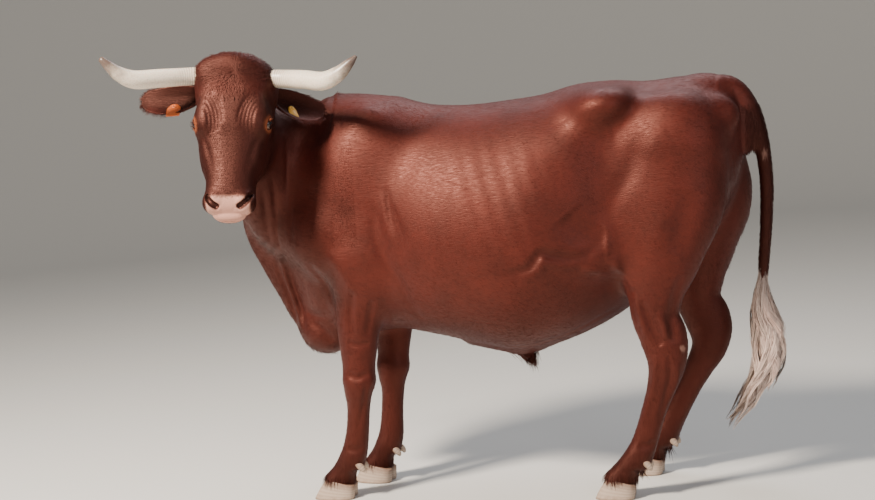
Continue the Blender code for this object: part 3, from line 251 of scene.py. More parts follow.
# Neck, bent to the left towards the head.
NECK = Sweep([
    (-0.12, 0.000, 1.130, 0.150, 0.25, 0.38, 2.0),
    (-0.30, 0.000, 1.120, 0.150, 0.295, 0.36, 2.0),
    (-0.43, -0.030, 1.140, 0.140, 0.285, 0.31, 2.0),
    (-0.53, -0.090, 1.205, 0.128, 0.235, 0.25, 2.0),
    (-0.585, -0.180, 1.280, 0.118, 0.185, 0.19, 2.0),
    (-0.595, -0.270, 1.335, 0.112, 0.150, 0.15, 2.0),
], (0, 0, 1))

CREST = Sweep([
    (-0.52, -0.070, 1.345, 0.090, 0.058, 0.10, 2.0),
    (-0.42, -0.018, 1.343, 0.112, 0.062, 0.10, 2.0),
    (-0.34, 0.000, 1.346, 0.130, 0.070, 0.10, 2.0),
    (-0.26, 0.000, 1.340, 0.130, 0.072, 0.10, 2.0),
    (-0.14, 0.000, 1.315, 0.125, 0.070, 0.10, 2.0),
], (0, 0, 1))

TAIL = Sweep([
    (0.960, 0.000, 1.350, 0.055, 0.060, 0.060, 2.0),
    (1.045, 0.004, 1.352, 0.048, 0.056, 0.050, 2.0),
    (1.100, 0.008, 1.305, 0.040, 0.046, 0.042, 2.0),
    (1.138, 0.010, 1.220, 0.031, 0.034, 0.032, 2.0),
    (1.158, 0.012, 1.110, 0.025, 0.026, 0.026, 2.0),
    (1.160, 0.014, 1.000, 0.023, 0.024, 0.024, 2.0),
    (1.149, 0.016, 0.870, 0.021, 0.022, 0.022, 2.0),
    (1.136, 0.018, 0.760, 0.019, 0.020, 0.020, 2.0),
    (1.130, 0.020, 0.690, 0.015, 0.015, 0.015, 2.0),
], (1, 0, 0))

# Legs: x, y, z, half width across, half depth forward, half depth back, exponent.
FORE_LEFT = Sweep([
    (-0.235, -0.160, 0.860, 0.075, 0.110, 0.120, 2.0),
    (-0.240, -0.158, 0.770, 0.072, 0.100, 0.108, 2.0),
    (-0.262, -0.154, 0.680, 0.062, 0.086, 0.088, 2.0),
    (-0.272, -0.150, 0.580, 0.053, 0.076, 0.074, 2.0),
    (-0.280, -0.147, 0.480, 0.047, 0.062, 0.060, 2.0),
    (-0.284, -0.145, 0.425, 0.051, 0.061, 0.060, 2.2),
    (-0.290, -0.144, 0.380, 0.046, 0.052, 0.048, 2.2),
    (-0.296, -0.142, 0.330, 0.036, 0.042, 0.042, 2.2),
    (-0.307, -0.140, 0.250, 0.034, 0.041, 0.042, 2.2),
    (-0.322, -0.138, 0.185, 0.038, 0.044, 0.047, 2.2),
    (-0.340, -0.137, 0.140, 0.043, 0.046, 0.050, 2.2),
    (-0.370, -0.136, 0.095, 0.042, 0.044, 0.044, 2.2),
    (-0.398, -0.136, 0.062, 0.043, 0.046, 0.046, 2.2),
], (-1, 0, 0))
FORE_RIGHT = Sweep([
    (-0.205, 0.160, 0.860, 0.075, 0.110, 0.120, 2.0),
    (-0.205, 0.152, 0.770, 0.072, 0.100, 0.108, 2.0),
    (-0.214, 0.140, 0.680, 0.062, 0.086, 0.088, 2.0),
    (-0.222, 0.128, 0.580, 0.053, 0.076, 0.074, 2.0),
    (-0.228, 0.118, 0.480, 0.047, 0.062, 0.060, 2.0),
    (-0.232, 0.113, 0.425, 0.051, 0.063, 0.061, 2.2),
    (-0.236, 0.109, 0.380, 0.046, 0.053, 0.049, 2.2),
    (-0.240, 0.106, 0.330, 0.036, 0.042, 0.042, 2.2),
    (-0.248, 0.101, 0.250, 0.034, 0.041, 0.042, 2.2),
    (-0.256, 0.098, 0.185, 0.038, 0.044, 0.047, 2.2),
    (-0.270, 0.096, 0.140, 0.043, 0.046, 0.050, 2.2),
    (-0.296, 0.095, 0.095, 0.042, 0.044, 0.044, 2.2),
    (-0.320, 0.095, 0.062, 0.043, 0.046, 0.046, 2.2),
], (-1, 0, 0))
HIND_LEFT = Sweep([
    (0.860, -0.125, 1.160, 0.105, 0.200, 0.180, 2.0),
    (0.845, -0.140, 1.020, 0.112, 0.205, 0.195, 2.0),
    (0.825, -0.155, 0.900, 0.105, 0.180, 0.170, 2.0),
    (0.812, -0.165, 0.800, 0.090, 0.145, 0.130, 2.0),
    (0.792, -0.170, 0.710, 0.072, 0.104, 0.098, 2.0),
    (0.784, -0.172, 0.630, 0.056, 0.086, 0.082, 2.0),
    (0.800, -0.173, 0.560, 0.047, 0.080, 0.086, 2.0),
    (0.810, -0.173, 0.510, 0.046, 0.076, 0.078, 2.0),
    (0.808, -0.172, 0.450, 0.043, 0.063, 0.064, 2.2),
    (0.788, -0.171, 0.380, 0.037, 0.050, 0.050, 2.2),
    (0.758, -0.170, 0.300, 0.033, 0.043, 0.042, 2.2),
    (0.722, -0.170, 0.200, 0.036, 0.043, 0.044, 2.2),
    (0.692, -0.170, 0.142, 0.043, 0.046, 0.050, 2.2),
    (0.652, -0.170, 0.097, 0.042, 0.043, 0.044, 2.2),
    (0.620, -0.170, 0.062, 0.043, 0.046, 0.046, 2.2),
], (-1, 0, 0))
HIND_RIGHT = Sweep([
    (0.890, 0.125, 1.160, 0.105, 0.200, 0.190, 2.0),
    (0.895, 0.140, 1.020, 0.112, 0.205, 0.210, 2.0),
    (0.898, 0.152, 0.900, 0.105, 0.180, 0.188, 2.0),
    (0.900, 0.160, 0.800, 0.090, 0.145, 0.135, 2.0),
    (0.894, 0.163, 0.710, 0.072, 0.104, 0.100, 2.0),
    (0.892, 0.164, 0.630, 0.056, 0.086, 0.082, 2.0),
    (0.914, 0.164, 0.560, 0.047, 0.080, 0.088, 2.0),
    (0.926, 0.164, 0.510, 0.046, 0.076, 0.080, 2.0),
    (0.918, 0.163, 0.450, 0.043, 0.063, 0.064, 2.2),
    (0.880, 0.162, 0.380, 0.037, 0.050, 0.050, 2.2),
    (0.835, 0.161, 0.300, 0.033, 0.043, 0.042, 2.2),
    (0.778, 0.160, 0.200, 0.036, 0.043, 0.044, 2.2),
    (0.744, 0.160, 0.142, 0.043, 0.046, 0.050, 2.2),
    (0.706, 0.160, 0.097, 0.042, 0.043, 0.044, 2.2),
    (0.676, 0.160, 0.062, 0.043, 0.046, 0.046, 2.2),
], (-1, 0, 0))

# Head frame: LONG runs from poll to muzzle, FRONT out of the forehead, WIDE to the animal's left.
BROW = np.array([-0.557, -0.460, 1.383])
BROW_AT = 0.200
VIEW_R = np.array([0.9653, 0.2494, -0.0779])
VIEW_U = np.array([0.0463, 0.1303, 0.9904])
VIEW_B = np.array([0.2571, -0.9596, 0.1142])
TURN = math.radians(3.0)
PITCH = math.radians(74.6)
WIDE = math.cos(TURN) * VIEW_R + math.sin(TURN) * VIEW_B
FACE = -math.sin(TURN) * VIEW_R + math.cos(TURN) * VIEW_B
LONG = math.cos(PITCH) * FACE - math.sin(PITCH) * VIEW_U
FRONT = math.sin(PITCH) * FACE + math.cos(PITCH) * VIEW_U
HEAD_AXES = np.array([LONG, WIDE, FRONT])


# Points with those of the right side brought to the left.
def mirrored(p):
    m = p.copy()
    m[:, 1] = np.abs(m[:, 1])
    return m


def to_head(p):
    q = (p - BROW) @ HEAD_AXES.T
    q[:, 0] += BROW_AT
    return q


def from_head(q):
    q = np.atleast_2d(np.array(q, float)).copy()
    q[:, 0] -= BROW_AT
    return q @ HEAD_AXES + BROW


# Skull: distance from poll, forehead line, jaw line, half width, upper and lower exponent.
SKULL = Loft([
    (-0.040, -0.068, -0.120, 0.082, 2.3, 2.0),
    (-0.015, -0.028, -0.165, 0.120, 2.5, 2.0),
    (0.030, -0.002, -0.200, 0.141, 2.5, 2.0),
    (0.080, 0.008, -0.220, 0.139, 2.5, 2.0),
    (0.140, 0.008, -0.235, 0.131, 2.6, 2.0),
    (0.200, 0.004, -0.240, 0.124, 2.6, 2.1),
    (0.261, -0.006, -0.222, 0.113, 2.5, 2.1),
    (0.331, -0.012, -0.182, 0.098, 2.4, 2.2),
    (0.398, -0.014, -0.152, 0.085, 2.3, 2.3),
    (0.455, -0.018, -0.140, 0.086, 2.5, 2.3),
    (0.488, -0.030, -0.124, 0.080, 2.5, 2.2),
    (0.508, -0.052, -0.102, 0.056, 2.3, 2.0),
], 0.55)
FACE_FORMS = [
    (Ball((0.192, 0.102, -0.052), (0.050, 0.032, 0.036)), 0.03),
    (Ball((0.165, 0.085, -0.022), (0.060, 0.030, 0.022)), 0.03),
    (Ball((0.265, 0.075, -0.125), (0.095, 0.036, 0.080)), 0.04),
    (Ball((0.468, 0.052, -0.054), (0.038, 0.036, 0.036)), 0.02),
    (Ball((0.035, 0.080, -0.080), (0.060, 0.045, 0.060)), 0.03),
    (Ball((0.075, 0.100, -0.112), (0.038, 0.032, 0.036)), 0.03),
]
CHIN = Ball((0.428, 0.0, -0.120), (0.046, 0.060, 0.032))
POLL = Ball((0.004, -0.012, -0.045), (0.066, 0.123, 0.052))


def head_gap(p):
    q = to_head(p)
    gap = SKULL(q)
    for form, k in FACE_FORMS:
        join(gap, q, form, k, True)
    join(gap, q, CHIN, 0.02)
    join(gap, q, POLL, 0.03)
    m = mirrored(q)
    for brush in FACE_LINES:
        carve(gap, m, brush)
    return gap


# Ring of points around an eye, its axis leaning forward.
def eye_ring(radius, start, stop, count=9):
    out = np.array([0.05, 0.88, 0.47])
    out /= np.linalg.norm(out)
    along = np.array([1.0, 0.0, 0.0]) - out * out[0]
    along /= np.linalg.norm(along)
    up = np.cross(out, along)
    mid = np.array([0.196, 0.1135, -0.046]) + out * 0.012
    ring = []
    for i in range(count):
        a = math.radians(start + (stop - start) * i / (count - 1))
        ring.append(mid + radius * (math.cos(a) * along + 0.85 * math.sin(a) * up))
    return ring


FACE_LINES = [
    Brush(eye_ring(0.021, 0, 360, 17), 0.007, -0.0075),
    Brush([(0.452, 0.062, -0.040), (0.466, 0.058, -0.026), (0.478, 0.044, -0.026)], 0.009, 0.016),
    Brush([(0.390, 0.090, -0.106), (0.450, 0.086, -0.098), (0.490, 0.058, -0.092), (0.510, 0.0, -0.088)],
        0.009, 0.006),
]


class HeadForm:
    lo = np.array([-0.90, -0.72, 0.92])
    hi = np.array([-0.22, -0.10, 1.72])

    def __call__(self, p):
        return head_gap(p)


HEAD = HeadForm()
LEGS = [(FORE_LEFT, 0.06), (FORE_RIGHT, 0.06), (HIND_LEFT, 0.08), (HIND_RIGHT, 0.08)]


# Signed gap from a point to the flesh of the whole animal, without its ears.
def flesh_gap(p):
    gap = TRUNK(p)
    for form, k in SIDES:
        join(gap, p, form, k, True)
    join(gap, p, NECK, 0.10)
    join(gap, p, CREST, 0.06)
    join(gap, p, BRISKET, 0.04)
    join(gap, p, DEWLAP, 0.05)
    join(gap, p, SHEATH, 0.04)
    for form, k in LEGS:
        join(gap, p, form, k)
    join(gap, p, TAIL, 0.03)
    join(gap, p, HEAD, 0.05)
    return gap


# Fold where the flank joins the thigh.
FLANK_FOLD = ([
    (0.300, -0.330, 0.806), (0.345, -0.328, 0.810), (0.398, -0.323, 0.824), (0.432, -0.320, 0.866),
    (0.480, -0.306, 0.855),
    (0.540, -0.292, 0.846), (0.590, -0.280, 0.856), (0.625, -0.270, 0.895), (0.650, -0.262, 0.935),
], 0.015, 0.014)

# Folds, hollows and ridges of the hide: points, width, depth; the far side has them mirrored.
BODY_LINES = [
    ([(0.787, -0.222, 1.243), (0.761, -0.228, 1.186), (0.730, -0.233, 1.106), (0.673, -0.240, 1.027),
      (0.640, -0.255, 0.947)], 0.034, 0.006),
    ([(0.800, -0.232, 1.150), (0.820, -0.236, 1.210), (0.872, -0.235, 1.232)], 0.034, -0.002),
    ([(0.920, -0.216, 1.280), (0.940, -0.228, 1.215), (0.922, -0.236, 1.170)], 0.034, -0.002),
    ([(0.520, -0.290, 0.990), (0.560, -0.288, 0.940), (0.610, -0.276, 0.905), (0.650, -0.268, 0.900)],
        0.050, 0.022),
    ([(0.500, -0.230, 1.300), (0.540, -0.262, 1.235), (0.620, -0.268, 1.215), (0.700, -0.250, 1.240)],
        0.070, -0.008),
    ([(0.360, -0.326, 0.790), (0.415, -0.320, 0.812), (0.450, -0.316, 0.842), (0.520, -0.296, 0.822),
      (0.585, -0.281, 0.830)], 0.024, -0.007),
    ([(0.560, -0.270, 0.815), (0.625, -0.262, 0.780), (0.680, -0.250, 0.715)], 0.020, -0.007),
    ([(0.585, -0.262, 0.780), (0.640, -0.250, 0.730)], 0.016, 0.009),
    ([(0.142, -0.321, 0.841), (0.211, -0.327, 0.822), (0.298, -0.332, 0.829)], 0.022, -0.003),
    ([(-0.099, -0.230, 1.119), (-0.092, -0.254, 1.029), (-0.069, -0.271, 0.950), (-0.047, -0.275, 0.857)],
     0.013, 0.005),
    ([(-0.082, -0.252, 1.052), (-0.055, -0.273, 0.974), (-0.032, -0.281, 0.900)], 0.012, 0.004),
    ([(-0.112, -0.240, 1.100), (-0.108, -0.252, 1.000), (-0.088, -0.265, 0.905)], 0.012, -0.003),
    ([(-0.147, -0.231, 1.053), (-0.132, -0.248, 0.961), (-0.107, -0.255, 0.892)], 0.012, 0.004),
    ([(-0.157, -0.228, 1.071), (-0.151, -0.246, 0.951), (-0.125, -0.250, 0.871), (-0.077, -0.245, 0.775),
      (-0.054, -0.222, 0.700), (-0.024, -0.189, 0.641)], 0.020, 0.008),
    ([(-0.284, -0.038, 1.421), (-0.273, -0.108, 1.374), (-0.262, -0.190, 1.326)], 0.006, 0.004),
    ([(-0.372, -0.020, 1.400), (-0.368, -0.041, 1.384), (-0.366, -0.092, 1.345)], 0.006, 0.003),
    ([(-0.411, -0.219, 0.866), (-0.381, -0.176, 0.794), (-0.357, -0.165, 0.721), (-0.346, -0.173, 0.657)],
     0.018, 0.010),
    ([(-0.509, -0.043, 0.667), (-0.437, -0.091, 0.650), (-0.340, -0.181, 0.655)], 0.015, 0.008),
    ([(0.884, -0.234, 0.766), (0.850, -0.222, 0.650), (0.845, -0.216, 0.590), (0.846, -0.214, 0.535)],
        0.013, 0.0192),
    ([(0.742, -0.229, 0.688), (0.765, -0.226, 0.626), (0.787, -0.220, 0.566), (0.806, -0.219, 0.528)],
        0.013, 0.0128),
    ([(0.802, -0.228, 0.650), (0.815, -0.222, 0.600), (0.822, -0.218, 0.550)], 0.012, -0.008),
    ([(0.723, -0.222, 0.714), (0.738, -0.220, 0.636), (0.754, -0.211, 0.549)], 0.014, -0.008),
    ([(0.823, -0.218, 0.500), (0.824, -0.212, 0.428), (0.800, -0.201, 0.341), (0.771, -0.197, 0.255)],
        0.009, 0.0104),
    ([(0.852, -0.208, 0.470), (0.846, -0.200, 0.400), (0.820, -0.190, 0.320)], 0.010, -0.0064),
    ([(0.779, -0.215, 0.500), (0.768, -0.206, 0.411), (0.742, -0.199, 0.325), (0.709, -0.199, 0.240)],
        0.011, -0.0064),
    ([(0.700, -0.200, 0.190), (0.735, -0.201, 0.185), (0.760, -0.195, 0.200)], 0.013, 0.008),
    ([(0.931, -0.239, 1.046), (0.899, -0.251, 0.934), (0.861, -0.253, 0.837)], 0.036, 0.0096),
    ([(0.663, -0.255, 0.846), (0.686, -0.240, 0.772), (0.715, -0.226, 0.714)], 0.020, -0.0096),
    ([(-0.253, -0.239, 0.763), (-0.276, -0.215, 0.672), (-0.279, -0.204, 0.589)], 0.012, 0.0112),
    ([(-0.189, -0.223, 0.723), (-0.210, -0.199, 0.650), (-0.226, -0.196, 0.586)], 0.011, 0.0096),
    ([(-0.304, -0.197, 0.574), (-0.261, -0.200, 0.562), (-0.222, -0.186, 0.566)], 0.011, 0.008),
    ([(-0.312, -0.189, 0.460), (-0.273, -0.194, 0.444), (-0.236, -0.178, 0.458)], 0.012, 0.0096),
    ([(-0.247, -0.187, 0.428), (-0.266, -0.175, 0.343), (-0.296, -0.173, 0.253)], 0.008, 0.0096),
    ([(-0.342, -0.182, 0.086), (-0.322, -0.150, 0.092), (-0.318, -0.120, 0.092), (-0.336, -0.092, 0.088)],
     0.014, 0.0128),
    ([(0.668, -0.214, 0.088), (0.690, -0.186, 0.094), (0.692, -0.154, 0.094), (0.672, -0.126, 0.090)],
        0.014, 0.0128),
    ([(-0.345, -0.130, 1.372), (-0.345, -0.060, 1.412), (-0.345, 0.0, 1.424)], 0.030, -0.0128),
    ([(-0.340, -0.165, 0.190), (-0.311, -0.172, 0.180), (-0.280, -0.162, 0.188)], 0.012, 0.0064),
    ([(-0.330, -0.245, 0.900), (-0.275, -0.247, 0.818), (-0.248, -0.232, 0.740)], 0.024, -0.006),
    ([(-0.477, -0.065, 0.636), (-0.428, -0.085, 0.601), (-0.395, -0.070, 0.550)], 0.016, 0.008),
    ([(0.250, -0.155, 0.525), (0.328, -0.140, 0.525), (0.442, -0.120, 0.549), (0.584, -0.111, 0.613),
      (0.658, -0.084, 0.647)], 0.014, 0.006),
    ([(-0.301, -0.191, 0.466), (-0.261, -0.193, 0.419), (-0.231, -0.173, 0.446)], 0.011, 0.003),
]
NECK_LINES = [
    ([(-0.465, -0.430, 1.277), (-0.542, -0.248, 1.094), (-0.571, -0.153, 0.925)], 0.014, 0.006),
    ([(-0.459, -0.340, 1.304), (-0.512, -0.221, 1.089), (-0.535, -0.152, 0.905)], 0.012, 0.007),
    ([(-0.465, -0.190, 1.311), (-0.468, -0.201, 1.120), (-0.468, -0.211, 0.927)], 0.012, 0.005),
    ([(-0.591, -0.107, 0.894), (-0.577, -0.063, 0.804), (-0.556, -0.039, 0.708), (-0.543, -0.018, 0.601)],
     0.009, 0.008),
    ([(-0.530, -0.135, 0.905), (-0.537, -0.062, 0.784), (-0.516, -0.040, 0.677), (-0.503, -0.058, 0.592)],
     0.009, 0.008),
    ([(-0.560, -0.120, 0.900), (-0.557, -0.062, 0.794), (-0.536, -0.040, 0.692), (-0.523, -0.038, 0.597)],
     0.008, -0.006),
]
# Face lines in the head frame: lid crease, cheek, nose and lip lines.
FACE_FOLDS = [
    ([(0.235, 0.100, -0.040), (0.270, 0.084, -0.030), (0.320, 0.070, -0.026), (0.380, 0.056, -0.020)],
        0.012, 0.0030),
    ([(0.255, 0.108, -0.085), (0.330, 0.096, -0.085), (0.395, 0.084, -0.080)], 0.010, -0.0030),
    ([(0.246, 0.112, -0.100), (0.320, 0.100, -0.108), (0.385, 0.086, -0.102)], 0.008, 0.0026),
    ([(0.438, 0.078, -0.040), (0.462, 0.078, -0.020), (0.488, 0.058, -0.018), (0.498, 0.034, -0.030)],
        0.008, -0.0050),
    ([(0.462, 0.018, -0.014), (0.486, 0.022, -0.028), (0.503, 0.020, -0.050)], 0.005, 0.0016),
]
NOSTRIL = ([(0.446, 0.068, -0.050), (0.462, 0.066, -0.034), (0.479, 0.054, -0.030), (0.486, 0.040, -0.036)],
    0.0100, 0.017)
MOUTH = ([(0.375, 0.094, -0.112), (0.410, 0.088, -0.103), (0.450, 0.085, -0.098), (0.489, 0.057, -0.092),
          (0.508, 0.0, -0.088)], 0.0042, 0.0070)
LIP = ([(0.400, 0.088, -0.120), (0.452, 0.082, -0.112), (0.486, 0.054, -0.106), (0.500, 0.0, -0.103)],
    0.006, -0.0025)

# Folds of the forehead run in arcs round each eye: reach across, reach up, then where each starts and stops.
FOREHEAD_ARCS = [
    (0.046, 0.078, 38, 108), (0.058, 0.094, 28, 112), (0.070, 0.108, 22, 110), (0.082, 0.118, 22, 104),
    (0.094, 0.126, 30, 92),
]
ARC_EYE = (0.208, 0.120)
ARC_WIDE = 0.0052
ARC_DEEP = 0.0048


# Height of the forehead over a place on it, in the head frame.
def face_height(a, s):
    q = np.array([[a, s, 0.03]])
    for _ in range(12):
        q[0, 2] -= head_gap(from_head(q))[0]
    return q[0, 2]


def forehead_arc(reach_s, reach_a, start, stop):
    line = []
    for angle in np.radians(np.linspace(start, stop, 6)):
        a = ARC_EYE[0] - reach_a * math.cos(angle)
        s = ARC_EYE[1] - reach_s * math.sin(angle)
        line.append((a, s, face_height(a, s)))
    return line


# A fold that runs out softly at both ends.
class Crease(Brush):
    def __call__(self, p):
        best, at = nearest_on(self.c, p)
        run = at / (len(self.c) - 1)
        fade = np.clip(3.2 * run * (1 - run), 0, 0.8) / 0.8
        return self.k * fade * np.exp(-best / self.w ** 2)


flank_fold = Crease(*FLANK_FOLD)
body_brushes = [flank_fold] + [Crease(*line) for line in BODY_LINES]
neck_brushes = [Crease(*line) for line in NECK_LINES]
FACE_LINES = []
nostril_brush = Brush(*NOSTRIL)
face_brushes = [nostril_brush, *(Crease(*line) for line in FACE_FOLDS), Brush(*MOUTH), Brush(*LIP)]
for arc in FOREHEAD_ARCS:
    face_brushes.append(Crease(forehead_arc(*arc), ARC_WIDE, ARC_DEEP))
face_brushes.append(Brush(eye_ring(0.027, 15, 165, 13), 0.0028, 0.0022))
face_brushes.append(Brush(eye_ring(0.033, 20, 150, 13), 0.0035, 0.0020))
face_brushes.append(Brush(eye_ring(0.028, 200, 340, 13), 0.0030, 0.0018))

# Eyeball, its lids and the almond between them; along, up and out are the axes of one eye.
EYE_AT = np.array([0.196, 0.1145, -0.045])
EYE_R = 0.0195
EYE_OUT = np.array([0.05, 0.88, 0.47]) / np.linalg.norm([0.05, 0.88, 0.47])
EYE_ALONG = np.array([1.0, 0.0, 0.0]) - EYE_OUT * EYE_OUT[0]
EYE_ALONG = EYE_ALONG / np.linalg.norm(EYE_ALONG)
EYE_UP = np.cross(EYE_OUT, EYE_ALONG)
LID_THICK = 0.0032
LID_LONG = 0.0185
LID_OPEN = 0.0118
EYE_ZONE = 0.05
NOSTRIL_AT = np.array([0.466, 0.055, -0.030])


def eye_axes(q):
    e = mirrored(q) - EYE_AT
    return e @ EYE_ALONG, e @ EYE_UP, e @ EYE_OUT, np.linalg.norm(e, axis=1)


def add_lids(gap, q):
    near = np.linalg.norm(mirrored(q) - EYE_AT, axis=1) < EYE_ZONE
    if not near.any():
        return
    a, u, o, r = eye_axes(q[near])
    lids = blend(gap[near], r - (EYE_R + LID_THICK), 0.010)
    shape = np.sqrt((a / LID_LONG) ** 2 + ((u + 0.12 * a) / LID_OPEN) ** 2) - 1.0
    cut = np.minimum(-shape * LID_OPEN, r - (EYE_R - 0.0015))
    cut = np.where(o > 0, cut, -1.0)
    gap[near] = np.maximum(lids, cut)


# How deep the skin lies under the surface of the solids, to leave room for the coat: least on face and legs.
COAT_LEAST = 0.0014
COAT_MORE = 0.0018
COAT_FROM_LEG = 0.42
COAT_FROM_NECK = -0.52


def coat_depth(p):
    above_legs = np.clip((p[:, 2] - COAT_FROM_LEG) / 0.20, 0, 1)
    behind_neck = np.clip((p[:, 0] - COAT_FROM_NECK) / 0.12, 0, 1)
    return COAT_LEAST + COAT_MORE * (above_legs * behind_neck)


SCROTUM = Ball((0.805, 0.0, 0.698), (0.046, 0.038, 0.076))
RIB_FIRST, RIB_LAST = 0.02, 0.52
RIB_LOW, RIB_TOP = 0.75, 1.28
RIBS_LONG, RIBS_TALL = 0.50, 0.53
RIB_STEP = 0.062
RIB_HIGH = 0.0006


def step(x, a, b):
    t = np.clip((x - a) / (b - a), 0, 1)
    return t * t * (3 - 2 * t)


# Places on the far side brought to the near side, where the body lines are drawn.
# The far legs stand further back than the near ones.
LEG_SHIFT_FROM = 0.90
LEG_TOP = 0.80
LEG_LONG = 0.77


def near_side(p):
    m = p.copy()
    m[:, 1] = -np.abs(m[:, 1])
    x, z = p[:, 0], p[:, 2]
    far = (p[:, 1] > 0) * step(LEG_SHIFT_FROM - z, 0.0, 0.2)
    low = np.clip((LEG_TOP - z) / LEG_LONG, 0, 1)
    fore = far * (1 - step(x, -0.05, 0.10))
    hind = far * step(x, 0.50, 0.65)
    m[:, 0] -= fore * (0.03 + 0.05 * low) + hind * (0.08 - 0.03 * low)
    m[:, 1] -= fore * (0.010 + 0.031 * low) + hind * 0.006
    return m


def hide_gap(p):
    gap = flesh_gap(p)
    join(gap, p, SCROTUM, 0.015)
    m = near_side(p)
    for brush in body_brushes:
        carve(gap, m, brush)
    for brush in neck_brushes:
        carve(gap, p, brush)
    ribs = (p[:, 0] > RIB_FIRST) & (p[:, 0] < RIB_LAST) & (p[:, 2] > RIB_LOW) & (p[:, 2] < RIB_TOP)
    if ribs.any():
        x, z = p[ribs, 0], p[ribs, 2]
        fade = np.sin(math.pi * (x - RIB_FIRST) / RIBS_LONG) * np.sin(math.pi * (z - RIB_LOW) / RIBS_TALL)
        gap[ribs] += RIB_HIGH * fade * np.cos(2 * math.pi * (x - RIB_FIRST - 0.30 * (1.1 - z)) / RIB_STEP)
    near = np.all((p > HEAD.lo) & (p < HEAD.hi), axis=1)
    if near.any():
        q = to_head(p[near])
        part = gap[near]
        m = mirrored(q)
        for brush in face_brushes:
            carve(part, m, brush)
        add_lids(part, q)
        gap[near] = part
    return gap + coat_depth(p)


# Values of the gap on a grid, worked out in full only near the skin.
def sample(func, lo, hi, cell, block=8):
    n = (np.ceil((hi - lo) / cell / block).astype(int)) * block
    grid = [lo[i] + cell * np.arange(n[i]) for i in range(3)]
    mid = [g.reshape(-1, block).mean(1) for g in grid]
    centre = np.stack(np.meshgrid(*mid, indexing="ij"), -1).reshape(-1, 3)
    rough = func(centre)
    value = rough.reshape([len(m) for m in mid])
    for axis in range(3):
        value = np.repeat(value, block, axis)
    near = np.flatnonzero(np.abs(rough) < cell * block * 1.5)
    counts = [len(m) for m in mid]
    local = np.stack(np.meshgrid(*[np.arange(block)] * 3, indexing="ij"), -1).reshape(-1, 3)
    for start in range(0, len(near), 400):
        part = near[start:start + 400]
        base = np.stack(np.unravel_index(part, counts), 1) * block
        at = (base[:, None, :] + local[None]).reshape(-1, 3)
        value[at[:, 0], at[:, 1], at[:, 2]] = func(lo + cell * at)
    return value


# Closed quad mesh of the zero level of a sampled gap.
def surface_net(value, lo, cell):
    inside = value < 0
    size = np.array(value.shape) - 1
    corners = np.array([(i, j, k) for i in (0, 1) for j in (0, 1) for k in (0, 1)])
    total = np.zeros(size, np.int8)
    for i, j, k in corners:
        total += inside[i:i + size[0], j:j + size[1], k:k + size[2]]
    mixed = np.argwhere((total > 0) & (total < 8))
    index = np.full(size, -1, np.int64)
    index[mixed[:, 0], mixed[:, 1], mixed[:, 2]] = np.arange(len(mixed))
    values = np.stack([value[tuple((mixed + c).T)] for c in corners], 1)
    point = np.zeros((len(mixed), 3))
    count = np.zeros(len(mixed))
    for a in range(8):
        for b in range(a + 1, 8):
            if np.abs(corners[a] - corners[b]).sum() != 1:
                continue
            va = values[:, a]
            vb = values[:, b]
            cross = (va < 0) != (vb < 0)
            t = np.where(cross, va / np.where(cross, va - vb, 1), 0)
            point += np.where(cross[:, None], corners[a] + t[:, None] * (corners[b] - corners[a]), 0)
            count += cross
    point = lo + cell * (mixed + point / count[:, None])
    quads = []
    for axis in range(3):
        one = np.eye(3, dtype=int)[axis]
        u = np.eye(3, dtype=int)[(axis + 1) % 3]
        v = np.eye(3, dtype=int)[(axis + 2) % 3]
        first = inside[:size[0], :size[1], :size[2]]
        second = inside[one[0]:one[0] + size[0], one[1]:one[1] + size[1], one[2]:one[2] + size[2]]
        edge = np.argwhere(first != second)
        edge = edge[(edge @ u > 0) & (edge @ v > 0)]
        ring = [index[tuple((edge - o).T)] for o in (u + v, v, 0 * u, u)]
        ring = np.stack(ring, 1)
        flip = ~first[tuple(edge.T)]
        ring[flip] = ring[flip][:, ::-1]
        quads.append(ring)
    return point, np.concatenate(quads)


# Evens out points among their neighbours, sliding along the hide.
def relaxed(points, normal, pairs, share=0.35):
    total = np.zeros_like(points)
    count = np.bincount(pairs.ravel(), minlength=len(points))[:, None]
    for i in range(3):
        total[:, i] = np.bincount(pairs[:, 0], points[pairs[:, 1], i], len(points))
        total[:, i] += np.bincount(pairs[:, 1], points[pairs[:, 0], i], len(points))
    way = total / np.maximum(count, 1) - points
    way -= normal * (way * normal).sum(1)[:, None]
    return points + share * way


SETTLE_SHARE = 0.65


# Moves points onto the hide along their own normals, a part of the way each time, as folds steepen the gap.
def settle(points, faces, rounds):
    pairs = np.stack([faces, np.roll(faces, -1, 1)], 2).reshape(-1, 2)
    for _ in range(rounds):
        normal = point_normals(points, faces)
        points = points - SETTLE_SHARE * np.clip(hide_gap(points), -0.006, 0.006)[:, None] * normal
        points = relaxed(points, normal, pairs)
    return points


def point_normals(points, faces):
    a = points[faces[:, 2]] - points[faces[:, 0]]
    b = points[faces[:, -1]] - points[faces[:, 1]]
    n = np.cross(a, b)
    total = np.zeros_like(points)
    for j in range(faces.shape[1]):
        for i in range(3):
            total[:, i] += np.bincount(faces[:, j], n[:, i], len(points))
    return unit(total, 1e-12)


# Splits every quad in four.
def split_quads(points, quads):
    edges = np.sort(np.stack([quads, np.roll(quads, -1, 1)], 2).reshape(-1, 2), axis=1)
    unique, back = np.unique(edges, axis=0, return_inverse=True)
    back = back.reshape(-1, 4) + len(points)
    middle = np.arange(len(quads)) + len(points) + len(unique)
    more = np.concatenate([points, points[unique].mean(1), points[quads].mean(1)])
    parts = [np.stack([quads[:, j], back[:, j], middle, back[:, j - 1]], 1) for j in range(4)]
    return more, np.concatenate(parts)


